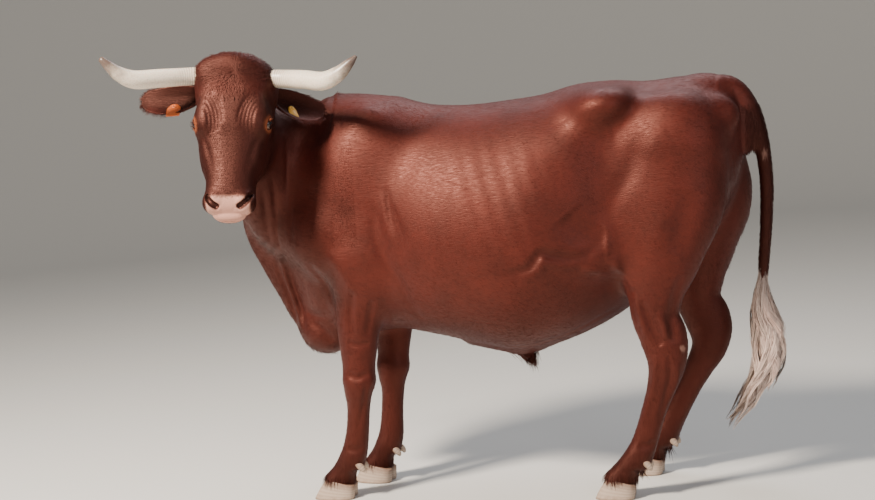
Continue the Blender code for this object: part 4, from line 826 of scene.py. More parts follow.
def mesh_object(name, points, faces):
    mesh = bpy.data.meshes.new(name)
    mesh.vertices.add(len(points))
    mesh.vertices.foreach_set("co", np.ascontiguousarray(points, np.float32).ravel())
    size = faces.shape[1]
    mesh.loops.add(faces.size)
    mesh.loops.foreach_set("vertex_index", np.ascontiguousarray(faces, np.int32).ravel())
    mesh.polygons.add(len(faces))
    mesh.polygons.foreach_set("loop_start", np.arange(len(faces), dtype=np.int32) * size)
    mesh.update(calc_edges=True)
    mesh.shade_smooth()
    ob = bpy.data.objects.new(name, mesh)
    bpy.context.scene.collection.objects.link(ob)
    return ob


def points_of(ob):
    co = np.empty(len(ob.data.vertices) * 3, np.float32)
    ob.data.vertices.foreach_get("co", co)
    return co.reshape(-1, 3).astype(float)


# Splits the faces whose points lie in a chosen zone once more, and settles the new points.
def refine(ob, chosen, rounds=2):
    bm = bmesh.new()
    bm.from_mesh(ob.data)
    bm.verts.ensure_lookup_table()
    edges = [e for e in bm.edges if chosen[e.verts[0].index] and chosen[e.verts[1].index]]
    bmesh.ops.subdivide_edges(bm, edges=edges, cuts=1, use_grid_fill=True)
    bmesh.ops.triangulate(bm, faces=[f for f in bm.faces if len(f.verts) > 4])
    bm.normal_update()
    p = np.array([v.co[:] for v in bm.verts])
    n = np.array([v.normal[:] for v in bm.verts])
    bm.verts.index_update()
    pairs = np.array([(e.verts[0].index, e.verts[1].index) for e in bm.edges])
    far = np.abs(hide_gap(p)) > 0.0002
    for _ in range(rounds):
        moved = np.zeros(len(p))
        moved[far] = hide_gap(p[far])
        p = p - SETTLE_SHARE * np.clip(moved, -0.004, 0.004)[:, None] * n
        p = np.where(far[:, None], relaxed(p, n, pairs, 0.25), p)
        for v, co in zip(bm.verts, p):
            v.co = co
        bm.normal_update()
        n = np.array([v.normal[:] for v in bm.verts])
    bm.to_mesh(ob.data)
    bm.free()


HIDE_GRID = 0.0135
FINE_AT_HEAD = 0.010
FINE_AT_EYE = 0.042
FINE_AT_NOSE = 0.030
low = np.array([-0.955, -0.755, -0.025])
high = np.array([1.30, 0.45, 1.75])
points, quads = surface_net(sample(hide_gap, low, high, HIDE_GRID), low, HIDE_GRID)
points = settle(points, quads, 2)
points, quads = split_quads(points, quads)
points = settle(points, quads, 3)
hide = mesh_object("hide", points, quads)
refine(hide, HEAD(points_of(hide)) < FINE_AT_HEAD, 3)
m = mirrored(to_head(points_of(hide)))
at_eye = np.linalg.norm(m - EYE_AT, axis=1) < FINE_AT_EYE
at_nose = np.linalg.norm(m - NOSTRIL_AT, axis=1) < FINE_AT_NOSE
refine(hide, at_eye | at_nose, 4)

# Ears: long cupped leaves of cartilage; share of length, half width, depth of cup, half thickness.
EAR_ROWS = np.array([
    (0.00, 0.024, 0.016, 0.0068), (0.10, 0.031, 0.026, 0.0056), (0.22, 0.041, 0.032, 0.0046),
    (0.36, 0.050, 0.031, 0.0038), (0.52, 0.054, 0.025, 0.0034), (0.68, 0.050, 0.018, 0.0030),
    (0.82, 0.044, 0.012, 0.0026), (0.93, 0.032, 0.007, 0.0022), (1.00, 0.014, 0.002, 0.0018),
])
EAR_TABLE = smooth_rows(EAR_ROWS, 8)
EARS = {
    "right": ((0.058, -0.112, -0.112), (0.070, -0.342, -0.160), (1.0, 0.0, 0.10)),
    "left": ((0.058, 0.110, -0.112), (0.102, 0.288, -0.200), (1.0, 0.0, 0.25)),
}
EAR_LONG_STEPS = 56
EAR_WIDE_STEPS = 28


def ear_place(side):
    root, tip, hint = EARS[side]
    root = from_head(root)[0]
    along = from_head(tip)[0] - root
    long = np.linalg.norm(along)
    along = along / long
    wide = np.array(hint) @ HEAD_AXES
    wide = wide - along * (wide @ along)
    wide /= np.linalg.norm(wide)
    out = np.cross(along, wide)
    return root, along, wide, out * np.sign(out @ FRONT), long


# Point in the middle of the ear's thickness, with its half thickness; u runs to the tip, v across.
def ear_point(place, u, v):
    root, along, wide, out, long = place
    half, cup, thick = (np.interp(u, EAR_TABLE[:, 0], EAR_TABLE[:, i]) for i in (1, 2, 3))
    across = half * v + 0.010 * np.sin(math.pi * u)
    lift = cup * (v * v - 1.0)
    mid = root + along * (long * u)[:, None] + wide * across[:, None] + out * lift[:, None]
    return mid, thick


def ear_normal(place, u, v, e=0.01):
    du = ear_point(place, u + e, v)[0] - ear_point(place, u - e, v)[0]
    dv = ear_point(place, u, v + e)[0] - ear_point(place, u, v - e)[0]
    n = np.cross(du, dv)
    n = unit(n)
    return n * np.sign(n @ place[3])[:, None]


def ear_mesh(side):
    place = ear_place(side)
    u, v = np.meshgrid(np.linspace(0, 1, EAR_LONG_STEPS), np.linspace(-1, 1, EAR_WIDE_STEPS), indexing="ij")
    u, v = u.ravel(), v.ravel()
    mid, thick = ear_point(place, u, v)
    n = ear_normal(place, u, v)
    rim = np.sqrt(np.clip(1 - (0.90 * v) ** 6, 0.1, 1))
    rib = 0.0011 * np.sin(math.pi * np.clip(u * 1.15, 0, 1)) * np.cos(2.6 * math.pi * v) * (1 - v * v)
    front = mid + n * (thick * rim + rib)[:, None]
    back = mid - n * (thick * rim)[:, None]
    rows, cols = EAR_LONG_STEPS, EAR_WIDE_STEPS
    total = rows * cols
    i, j = np.meshgrid(np.arange(rows - 1), np.arange(cols - 1), indexing="ij")
    a = (i * cols + j).ravel()
    quads = [np.stack([a, a + 1, a + cols + 1, a + cols], 1)]
    quads.append(total + quads[0][:, ::-1])
    rim = list(range(cols)) + [r * cols + cols - 1 for r in range(1, rows)]
    rim += [(rows - 1) * cols + c for c in range(cols - 2, -1, -1)]
    rim += [r * cols for r in range(rows - 2, 0, -1)]
    rim = np.array(rim)
    nxt = np.roll(rim, -1)
    quads.append(np.stack([rim, total + rim, total + nxt, nxt], 1))
    ob = mesh_object("ear", np.concatenate([front, back]), np.concatenate(quads))
    bm = bmesh.new()
    bm.from_mesh(ob.data)
    bmesh.ops.triangulate(bm, faces=bm.faces)
    bmesh.ops.recalc_face_normals(bm, faces=bm.faces)
    bm.to_mesh(ob.data)
    bm.free()
    return ob


def apply_all(ob):
    bpy.ops.object.select_all(action="DESELECT")
    ob.select_set(True)
    bpy.context.view_layer.objects.active = ob
    for mod in list(ob.modifiers):
        bpy.ops.object.modifier_apply(modifier=mod.name)


for side in EARS:
    part = ear_mesh(side)
    mod = hide.modifiers.new("ear", "BOOLEAN")
    mod.operation = "UNION"
    mod.object = part
    mod.solver = "MANIFOLD"
    apply_all(hide)
    bpy.data.objects.remove(part, do_unlink=True)

# Share of the way along, place across and height over one ear, for many points.
def ear_coordinates(p, side):
    root, along, wide, out, long = ear_place(side)
    e = p - root
    u = e @ along / long
    half = np.interp(u, EAR_TABLE[:, 0], EAR_TABLE[:, 1])
    cup = np.interp(u, EAR_TABLE[:, 0], EAR_TABLE[:, 2])
    v = (e @ wide - 0.010 * np.sin(math.pi * np.clip(u, 0, 1))) / half
    return u, v, e @ out - cup * (v * v - 1.0)


def near_ear(p, side, thick):
    u, v, o = ear_coordinates(p, side)
    return (u > 0.0) & (u < 1.05) & (np.abs(v) < 1.15) & (np.abs(o) < thick)


def on_ear(p):
    return near_ear(p, "left", 0.012) | near_ear(p, "right", 0.012)


bm = bmesh.new()
bm.from_mesh(hide.data)
bmesh.ops.triangulate(bm, faces=bm.faces)
bm.verts.ensure_lookup_table()
p = np.array([v.co[:] for v in bm.verts])
seam = np.abs(hide_gap(p)) < 0.007
for side in EARS:
    u, v, o = ear_coordinates(p, side)
    seam_here = seam & (u > -0.15) & (u < 0.30) & (np.abs(v) < 1.3) & (np.abs(o) < 0.014)
    chosen = [bm.verts[int(i)] for i in np.flatnonzero(seam_here)]
    for _ in range(5):
        bmesh.ops.smooth_vert(bm, verts=chosen, factor=0.5, use_axis_x=True, use_axis_y=True, use_axis_z=True)
bm.normal_update()
bm.to_mesh(hide.data)
bm.free()


# Markings: how strongly each zone of colour shows at a point, from 0 to 1. Skin and coat both use them.
# Among them, the flank fold, the ear cups, the nostrils and the underside of the belly are painted shade.
def soft_spots(p, scale, seed):
    rng = np.random.default_rng(seed)
    total = np.zeros(len(p))
    for _ in range(6):
        way = rng.normal(size=3)
        way *= scale / np.linalg.norm(way)
        total += np.sin(p @ way + rng.uniform(0, 6.283))
    return total / 3.5


CUT_POLL = np.array([-0.075, -0.125])
CUT_JAW = np.array([0.330, -0.268])
TAIL_FROM = 1.085


def before_cut(q):
    along = (CUT_JAW - CUT_POLL) / np.linalg.norm(CUT_JAW - CUT_POLL)
    return (q[:, 0] - CUT_POLL[0]) * -along[1] + (q[:, 2] - CUT_POLL[1]) * along[0]


def head_share(p):
    near = np.all((p > HEAD.lo) & (p < HEAD.hi), axis=1)
    return np.where(near, step(before_cut(to_head(p)), -0.01, 0.05), 0.0)


# Painted shade inside a nostril: near it, and darker the deeper it lies below the skin around it.
def nostril_depth_shade(p, m):
    near = np.linalg.norm(m - nostril_brush.c.mean(0), axis=1) < 0.036
    share = np.zeros(len(p))
    if near.any():
        share[near] = step(-head_gap(p[near]), 0.0025, 0.0060)
    return share


# Bald, pale spots: the worn point of each hock and a rubbed place on the edge of the tail.
SPOTS = [((0.871, -0.201, 0.513), 0.012), ((0.868, 0.196, 0.508), 0.011), ((1.160, -0.012, 1.140), 0.014)]


def bald_spots(p):
    share = np.zeros(len(p))
    for place, size in SPOTS:
        d = np.linalg.norm((p - place) * (1.0, 0.6, 0.8), axis=1)
        share = np.maximum(share, 1 - step(d + 0.003 * soft_spots(p, 300.0, 9), 0.5 * size, size))
    return share


FOOT_DARK = (0.10, 0.24)
LEG_PALE = (0.30, 0.52)
UNDERSIDE_SHADE_HEIGHTS = (0.52, 0.72)
LID_EDGE = (0.0215, 0.0255)
EYE_RING = 0.027
EYE_RING_WIDE = 0.0055


def markings(p):
    q = to_head(p)
    head = head_share(p)
    m = mirrored(q)
    eye = np.linalg.norm(m - EYE_AT, axis=1)
    ear = on_ear(p).astype(float)
    # Painted shade in the cup of each ear, darkest in the middle of the cup and towards its root.
    inside = np.zeros(len(p))
    for side in EARS:
        u, v, o = ear_coordinates(p, side)
        cup = ((np.abs(v) < 0.97) & (o > 0.0) & (o < 0.012) & (u > 0.05) & (u < 1.0)) * ear
        inside += cup * (1 - step(np.abs(v), 0.35, 0.97)) * (1 - 0.7 * step(u, 0.45, 1.0))
    pad = step(q[:, 0], 0.448, 0.466) * step(q[:, 2], -0.090, -0.080) * step(-m[:, 1], -0.078, -0.068)
    z = p[:, 2]
    lower = 1 - step(z, *LEG_PALE)
    front = step(-p[:, 0], 0.40, 0.56) * (1 - head)
    crest = step(-p[:, 0], 0.15, 0.40) * step(z, 1.22, 1.36) * (1 - head)
    tail = step(p[:, 0], TAIL_FROM, TAIL_FROM + 0.05) * (1 - step(z, 1.28, 1.37))
    poll = head * np.exp(-((q[:, 0] - 0.02) / 0.075) ** 2)
    face = head * step(q[:, 0], 0.06, 0.14) * (1 - pad) * (1 - step(m[:, 1], 0.14, 0.19))
    # Painted shade along the flank fold: the colour darkens where its groove is deepest.
    fold_shade = np.clip(1.3 * flank_fold(near_side(p)) / flank_fold.k, 0, 1)
    foot = 1 - step(z, *FOOT_DARK)
    # The pale zone darkens: under the belly it is painted shade, and towards the muzzle it darkens the head
    # slightly.
    under = (1 - step(z, *UNDERSIDE_SHADE_HEIGHTS)) * step(p[:, 0], -0.1, 0.1) * (1 - lower)
    dark = 0.80 * tail + 0.6 * fold_shade + 0.6 * foot + 0.65 * front + 0.55 * crest + 0.75 * poll + 0.90 * face
    return {
        "muzzle": head * pad,
        "nostril": head * nostril_depth_shade(p, m),
        "callus": bald_spots(p),
        "ring": head * np.exp(-((eye - EYE_RING) / EYE_RING_WIDE) ** 2) * (1 - ear),
        "lid": head * (1 - step(eye, *LID_EDGE)),
        "ear_cup_shade": inside,
        "leg": lower,
        "pale": np.clip(0.55 * under + 0.12 * head * step(q[:, 0], 0.36, 0.46), 0, 1),
        "dark": np.clip(dark, 0, 1),
    }


# Keeps named values on the points of a mesh, where its material reads them.
def store_values(ob, values):
    for name, value in values.items():
        layer = ob.data.attributes.new(name, "FLOAT", "POINT")
        layer.data.foreach_set("value", np.ascontiguousarray(value, np.float32))


store_values(hide, markings(points_of(hide)))


def linear(hex_colour):
    out = []
    for i in (1, 3, 5):
        c = int(hex_colour[i:i + 2], 16) / 255
        out.append(c / 12.92 if c <= 0.04045 else ((c + 0.055) / 1.055) ** 2.4)
    return (*out, 1.0)


# Adds a node with its settings. An input takes a plain value, another node's output, or a node, whose first
# output it then takes.
def add(tree, kind, settings=None, inputs=None):
    made = tree.nodes.new("ShaderNode" + kind)
    for key, value in (settings or {}).items():
        setattr(made, key, value)
    for key, value in (inputs or {}).items():
        if isinstance(value, bpy.types.Node):
            value = value.outputs[0]
        if isinstance(value, bpy.types.NodeSocket):
            tree.links.new(value, made.inputs[key])
        else:
            made.inputs[key].default_value = value
    return made


def new_material(name):
    mat = bpy.data.materials.new(name)
    mat.use_nodes = True
    mat.node_tree.nodes.clear()
    return mat, mat.node_tree


# Short, sleek cattle coat: mahogany with paler lower legs, ochre rings round the eyes and a bare, pebbled
# nose pad. Grease and straight hair give it a broad sheen. The tufts are 1 to 2 mm wide, so that they show.
# Painted shade darkens the flank fold, the cups of the ears, the insides of the nostrils and the belly
# underside.
MAHOGANY = "#33100D"
MAHOGANY_WARM = "#461813"
# Deep mahogany of the tail, poll, face, neck front, crest and feet; along the flank fold it is painted shade.
MAHOGANY_DEEP_AND_FOLD_SHADE = "#180706"
LEG_TAN = "#38140F"
# Painted shade for the underside of the belly; it also darkens the head slightly towards the muzzle.
UNDERSIDE_SHADE = "#33130E"
EYE_OCHRE = "#8C4C30"
NOSE_PAD = "#BC8C7C"
# Painted shade inside the nostrils.
NOSTRIL_SHADE = "#1A0A08"
LID_DARK = "#241210"
CALLUS_PALE = "#9A7466"
COAT_GLOSS = "#E29684"
COAT_SHEEN = "#C07A68"
# Painted shade for the cup of the ear.
EAR_CUP_SHADE = "#1C0A08"
PATCH = 7.0
HAIR_ACROSS = 300.0
HAIR_ALONG = 30.0
PEBBLE = 330.0


def hide_colours(tree, place):
    patch = add(tree, "TexNoise", None,
        {"Vector": place, "Scale": PATCH, "Detail": 4.0, "Roughness": 0.6})
    streak = add(tree, "TexNoise", None,
        {"Vector": place, "Scale": 60.0, "Detail": 3.0, "Roughness": 0.7})
    both = add(tree, "Math", {"operation": "MULTIPLY_ADD"}, {
        0: streak, 1: 0.45, 2: add(tree, "Math", {"operation": "MULTIPLY"}, {
            0: patch, 1: 0.75})})
    even = add(tree, "MapRange", None,
        {"Value": both, "From Min": 0.42, "From Max": 0.78})
    colour = add(tree, "Mix", {"data_type": "RGBA"}, {
        0: even, 6: linear(MAHOGANY), 7: linear(MAHOGANY_WARM)}).outputs[2]
    for zone, tint, amount in (
        ("leg", LEG_TAN, 0.80), ("pale", UNDERSIDE_SHADE, 0.60), ("dark", MAHOGANY_DEEP_AND_FOLD_SHADE, 0.85),
        ("ring", EYE_OCHRE, 0.75),
        ("ear_cup_shade", EAR_CUP_SHADE, 0.85), ("callus", CALLUS_PALE, 0.55), ("muzzle", NOSE_PAD, 0.95),
        ("lid", LID_DARK, 1.0), ("nostril", NOSTRIL_SHADE, 1.0),
    ):
        share = add(tree, "Attribute", {"attribute_name": zone})
        scaled = add(tree, "Math", {"operation": "MULTIPLY"}, {0: share.outputs["Fac"], 1: amount})
        colour = add(tree, "Mix", {"data_type": "RGBA"}, {
            0: scaled, 6: colour, 7: linear(tint)}).outputs[2]
    return colour


def sleek_coat():
    mat, tree = new_material("sleek_short_coat")
    place = add(tree, "TexCoord").outputs["Object"]
    colour = hide_colours(tree, place)
    heights = []
    for stretch in ((HAIR_ALONG, HAIR_ACROSS, HAIR_ACROSS), (HAIR_ACROSS, HAIR_ACROSS, HAIR_ALONG)):
        stretched = add(tree, "VectorMath", {"operation": "MULTIPLY"}, {0: place, 1: stretch})
        heights.append(add(tree, "TexNoise", None, {
            "Vector": stretched, "Scale": 1.0, "Detail": 2.0, "Roughness": 0.55}).outputs["Fac"])
    leg = add(tree, "Attribute", {"attribute_name": "leg"})
    hair = add(tree, "Mix", {"data_type": "FLOAT"},
        {0: leg.outputs["Fac"], 2: heights[0], 3: heights[1]})
    pebbles = add(tree, "TexVoronoi", {"feature": "SMOOTH_F1"}, {"Vector": place, "Scale": PEBBLE})
    muzzle = add(tree, "Attribute", {"attribute_name": "muzzle"})
    height = add(tree, "Mix", {"data_type": "FLOAT"}, {
        0: muzzle.outputs["Fac"], 2: hair, 3: pebbles})
    bump = add(tree, "Bump", None,
        {"Strength": 0.55, "Distance": 0.0014, "Height": height})
    gloss = add(tree, "MapRange", None, {
        "Value": hair, "From Min": 0.3, "From Max": 0.7, "To Min": 0.40, "To Max": 0.62})
    cup = add(tree, "Attribute", {"attribute_name": "ear_cup_shade"})
    dull = add(tree, "Math", {"operation": "MULTIPLY_ADD"},
        {0: cup.outputs["Fac"], 1: 0.35, 2: gloss})
    shader = add(tree, "BsdfPrincipled", None, {
        "Base Color": colour, "Roughness": dull, "Normal": bump,
        "Specular IOR Level": 0.74,
        "Specular Tint": linear(COAT_GLOSS), "Sheen Weight": 0.02, "Sheen Tint": linear(COAT_SHEEN)})
    add(tree, "OutputMaterial", None, {"Surface": shader})
    return mat


hide.data.materials.clear()
hide.data.materials.append(sleek_coat())
hide.data.shade_smooth()
hide.data.transform(Matrix.Translation(Vector(ORIGIN)))
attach(hide, "root")
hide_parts("head", "neck", "torso", "tail", "fore_leg_left", "fore_leg_right", "hind_leg_left",
            "hind_leg_right", "ear_left", "ear_right", "scrotum")

# Faces of a tube of rows with n points each, closed by a point at its first and one at its last row.
def tube_faces(rows, n):
    i, j = (g.ravel() for g in np.meshgrid(np.arange(rows - 1), np.arange(n), indexing="ij"))
    u, v = i * n + j, i * n + (j + 1) % n
    tris = [np.stack([u, v, v + n], 1), np.stack([u, v + n, u + n], 1)]
    j = np.arange(n)
    k = (j + 1) % n
    tris.append(np.stack([np.full(n, rows * n), k, j], 1))
    tris.append(np.stack([np.full(n, rows * n + 1), (rows - 1) * n + j, (rows - 1) * n + k], 1))
    return np.concatenate(tris)


# Eyes. A wet, dark brown globe each side, set in the socket behind the lids, with a wide oval pupil that
# lies level. The real one is clear cornea over iris. Here it is one polished globe, crowned a little.
EYE_STEPS = 48
CROWN = 0.0012
IRIS_DARK = "#160A07"
IRIS_BROWN = "#2A140C"
PUPIL_BLUE = "#0B0D14"
EYE_WHITE = "#8C6A58"


def eye_globe(side, sign):
    a = np.linspace(0, math.pi, EYE_STEPS)
    b = np.linspace(0, 2 * math.pi, 2 * EYE_STEPS, endpoint=False)
    a, b = (g.ravel() for g in np.meshgrid(a[1:-1], b, indexing="ij"))
    out = np.cos(a)
    ring = np.sin(a)
    radius = EYE_R + CROWN * np.clip((out - 0.55) / 0.45, 0, 1)
    local = np.stack([radius * ring * np.cos(b), radius * ring * np.sin(b), radius * out], 1)
    local = np.concatenate([local, [(0, 0, EYE_R + CROWN)], [(0, 0, -EYE_R)]])
    axes = np.stack([EYE_ALONG, EYE_UP, EYE_OUT])
    q = EYE_AT + local @ axes
    q[:, 1] *= sign
    tris = tube_faces(EYE_STEPS - 2, 2 * EYE_STEPS)
    if sign > 0:
        tris = tris[:, ::-1]
    ob = mesh_object("eye_" + side, from_head(q) + ORIGIN, tris)
    fit_normals(ob)
    shape = np.sqrt((local[:, 0] / 0.0095) ** 2 + (local[:, 1] / 0.0050) ** 2)
    store_values(ob, {
        "pupil": (1 - step(shape, 0.85, 1.1)) * (local[:, 2] > 0),
        "white": step(np.hypot(local[:, 0], local[:, 1]), 0.0140, 0.0165),
    })
    return ob


# Turns the faces of a closed mesh outwards.
def fit_normals(ob):
    bm = bmesh.new()
    bm.from_mesh(ob.data)
    bmesh.ops.recalc_face_normals(bm, faces=bm.faces)
    if bm.calc_volume(signed=True) < 0:
        bmesh.ops.reverse_faces(bm, faces=bm.faces)
    bm.to_mesh(ob.data)
    bm.free()


# Living eye: dark, and wet enough to mirror the lights sharply.
def wet_eye():
    mat, tree = new_material("wet_cornea_over_iris")
    place = add(tree, "TexCoord").outputs["Object"]
    fibres = add(tree, "TexNoise", None, {"Vector": place, "Scale": 900.0, "Detail": 3.0})
    iris = add(tree, "Mix", {"data_type": "RGBA"}, {
        0: fibres, 6: linear(IRIS_DARK), 7: linear(IRIS_BROWN)})
    white = add(tree, "Attribute", {"attribute_name": "white"})
    rim = add(tree, "Mix", {"data_type": "RGBA"}, {
        0: white.outputs["Fac"], 6: iris.outputs[2], 7: linear(EYE_WHITE)})
    pupil = add(tree, "Attribute", {"attribute_name": "pupil"})
    colour = add(tree, "Mix", {"data_type": "RGBA"}, {
        0: pupil.outputs["Fac"], 6: rim.outputs[2], 7: linear(PUPIL_BLUE)})
    shader = add(tree, "BsdfPrincipled", None, {
        "Base Color": colour.outputs[2], "Roughness": 0.06, "IOR": 1.38, "Coat Weight": 0.6,
        "Coat Roughness": 0.03})
    add(tree, "OutputMaterial", None, {"Surface": shader})
    return mat


eye_finish = wet_eye()
for side, sign in (("left", 1), ("right", -1)):
    eye = eye_globe(side, sign)
    eye.name = "eyeball_" + side
    eye.data.materials.append(eye_finish)
    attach(eye, "root")
    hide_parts("eye_" + side)

# Horns. Keratin sheaths on bone cores, grown out of the poll: cream for most of their length, with brown
# growth rings by the skin and a grey-brown tip. The left one ends finely, the right one is rubbed blunt.
HORN_ROWS = {
    "left": [
        (0.030, 0.105, -0.062, 0.028), (0.027, 0.135, -0.062, 0.031), (0.032, 0.175, -0.050, 0.031),
        (0.050, 0.245, -0.012, 0.032), (0.070, 0.312, 0.026, 0.0315), (0.058, 0.365, 0.060, 0.026),
        (0.030, 0.404, 0.084, 0.016), (0.012, 0.424, 0.094, 0.007),
    ],
    "right": [
        (0.020, -0.105, -0.060, 0.028), (0.017, -0.135, -0.060, 0.031), (0.024, -0.180, -0.048, 0.031),
        (0.044, -0.255, -0.010, 0.032), (0.062, -0.325, 0.026, 0.0315), (0.052, -0.372, 0.052, 0.026),
        (0.031, -0.404, 0.073, 0.0185), (0.015, -0.424, 0.085, 0.0125),
    ],
}
HORN_SIDES = 44
HORN_STEPS = 18
HORN_INSET = 0.0004
RING_EVERY = 0.0085
RING_HIGH = 0.0005
HORN_CREAM = "#E2D3BF"
HORN_BROWN = "#5E4233"
HORN_TIP = "#5D4C43"
HORN_WEATHERED = "#A98F78"


# Closed tube round a path of points and radii, with one round end, and each point's share of its length.
def horn_tube(rows):
    t = smooth_rows(np.array([(*from_head(r[:3])[0], r[3]) for r in rows]), HORN_STEPS)
    c = t[:, :3]
    d = np.gradient(c, axis=0)
    d = unit(d)
    run = np.concatenate([[0], np.cumsum(np.linalg.norm(np.diff(c, axis=0), axis=1))])
    share = run / run[-1]
    up = np.array([0.0, 0.0, 1.0])
    points = []
    for i in range(len(t)):
        side = np.cross(d[i], up)
        side /= np.linalg.norm(side)
        up = np.cross(side, d[i])
        fade = max(0.0, 1 - 2.2 * share[i]) + 0.10
        wave = 0.5 + 0.5 * math.cos(2 * math.pi * run[i] / RING_EVERY)
        radius = t[i, 3] - HORN_INSET - RING_HIGH * fade * wave
        for j in range(HORN_SIDES):
            a = 2 * math.pi * j / HORN_SIDES
            flute = 1 - 0.010 * math.cos(3 * a + 1.0) * (1 - share[i])
            points.append(c[i] + radius * flute * (math.cos(a) * side + math.sin(a) * up))
    for k in (0.55, 0.85):
        for j in range(HORN_SIDES):
            a = 2 * math.pi * j / HORN_SIDES
            radius = t[-1, 3] * math.sqrt(1 - k * k)
            spoke = math.cos(a) * side + math.sin(a) * up
            points.append(c[-1] + d[-1] * t[-1, 3] * 0.9 * k + radius * spoke)
    points += [c[0], c[-1] + d[-1] * t[-1, 3] * 0.9]
    tris = tube_faces(len(t) + 2, HORN_SIDES)
    shares = np.concatenate([np.repeat(share, HORN_SIDES), np.ones(2 * HORN_SIDES), [0, 1]])
    return np.array(points), tris, shares


# Keratin, grown in fibres along the horn and polished by rubbing: satin, with fine dark checks along it.
def horn_keratin():
    mat, tree = new_material("horn_keratin")
    place = add(tree, "TexCoord").outputs["Object"]
    share = add(tree, "Attribute", {"attribute_name": "share"}).outputs["Fac"]
    cloud = add(tree, "TexNoise", None,
        {"Vector": place, "Scale": 38.0, "Detail": 5.0, "Roughness": 0.65})
    rub = add(tree, "Math", {"operation": "MULTIPLY_ADD"},
        {0: cloud, 1: 0.22, 2: share})
    tip = add(tree, "MapRange", {"interpolation_type": "SMOOTHSTEP"}, {
        "Value": rub, "From Min": 0.76, "From Max": 1.08})
    base = add(tree, "MapRange", {"interpolation_type": "SMOOTHSTEP"}, {
        "Value": rub, "From Min": 0.16, "From Max": 0.50, "To Min": 1.0, "To Max": 0.0})
    rings = add(tree, "Math", {"operation": "SINE"}, {
        0: add(tree, "Math", {"operation": "MULTIPLY_ADD"}, {
            0: share, 1: 250.0, 2: add(tree, "Math", {"operation": "MULTIPLY"}, {
                0: cloud, 1: 5.0})})})
    ring = add(tree, "MapRange", None, {
        "Value": rings, "From Min": -1.0, "From Max": 1.0, "To Min": 0.10, "To Max": 0.62})
    brown = add(tree, "Math", {"operation": "MULTIPLY"}, {0: base, 1: ring})
    cream = add(tree, "Mix", {"data_type": "RGBA"}, {
        0: brown, 6: linear(HORN_CREAM), 7: linear(HORN_BROWN)})
    streaks = add(tree, "TexNoise", None, {"Vector": place, "Scale": 210.0, "Detail": 3.0})
    aged = add(tree, "Mix", {"data_type": "RGBA"}, {
        0: add(tree, "MapRange", None, {
            "Value": streaks, "From Min": 0.46, "From Max": 0.74, "To Max": 0.42}),
        6: cream.outputs[2], 7: linear(HORN_WEATHERED)})
    colour = add(tree, "Mix", {"data_type": "RGBA"},
        {0: tip, 6: aged.outputs[2], 7: linear(HORN_TIP)})
    bump = add(tree, "Bump", None, {
        "Strength": 0.30, "Distance": 0.0006, "Height": streaks})
    shader = add(tree, "BsdfPrincipled", None, {
        "Base Color": colour.outputs[2], "Roughness": 0.36, "IOR": 1.54, "Normal": bump,
        "Subsurface Weight": 0.06, "Subsurface Scale": 0.006})
    add(tree, "OutputMaterial", None, {"Surface": shader})
    return mat


horn_finish = horn_keratin()
for side, rows in HORN_ROWS.items():
    points, tris, share = horn_tube(rows)
    horn = mesh_object("horn_sheath_" + side, points + ORIGIN, tris)
    fit_normals(horn)
    store_values(horn, {"share": share})
    horn.data.materials.append(horn_finish)
    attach(horn, "root")
    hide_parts("horn_" + side)

# Hooves. Each foot stands on two claws of pale horn with a narrow cleft between them, ringed like the horns,
# worn flat underneath; two small dewclaws hang behind the fetlock. They grow from the coronet under the hair.
FEET = [
    ("fore_left", -0.412, -0.136, 0.150, -4, (-0.300, -0.137, 0.118)),
    ("fore_right", -0.334, 0.095, 0.150, 4, (-0.230, 0.096, 0.118)),
    ("hind_left", 0.606, -0.170, 0.138, -3, (0.728, -0.170, 0.120)),
    ("hind_right", 0.662, 0.160, 0.138, 3, (0.780, 0.160, 0.120)),
]
TOE_HIGH = 0.076
HEEL_HIGH = 0.050
CLAW_WIDE = 0.054
TOE_SLOPE = 0.052
CLEFT = 0.0016
CLAW_OUTLINE = np.array([
    (-0.42, 0.06), (-0.15, 0.01), (0.15, 0.02), (0.38, 0.10), (0.49, 0.26), (0.47, 0.44), (0.36, 0.66),
    (0.18, 0.86), (-0.06, 0.98), (-0.28, 0.98), (-0.44, 0.80), (-0.50, 0.45), (-0.48, 0.18),
])
CLAW_LEVELS = 26
HOOF_RINGS = 6
HOOF_RING_HIGH = 0.0006
HOOF_IVORY = "#B5A08E"
HOOF_BROWN = "#7E5F4C"
HOOF_EARTH = "#7A5D48"


def closed_curve(points, per=4):
    n = len(points)
    out = []
    for i in range(n):
        a, b, c, d = points[i - 1], points[i], points[(i + 1) % n], points[(i + 2) % n]
        for j in range(per):
            t = j / per
            out.append(b + 0.5 * t * (c - a + t * (2 * a - 5 * b + 4 * c - d + t * (3 * (b - c) + d - a))))
    return np.array(out)


# Closed skin over a stack of rings of equal count.
def stacked(rings):
    rings = np.array(rings)
    rows, n = rings.shape[:2]
    points = np.concatenate([rings.reshape(-1, 3), [rings[0].mean(0)], [rings[-1].mean(0)]])
    return points, tube_faces(rows, n)


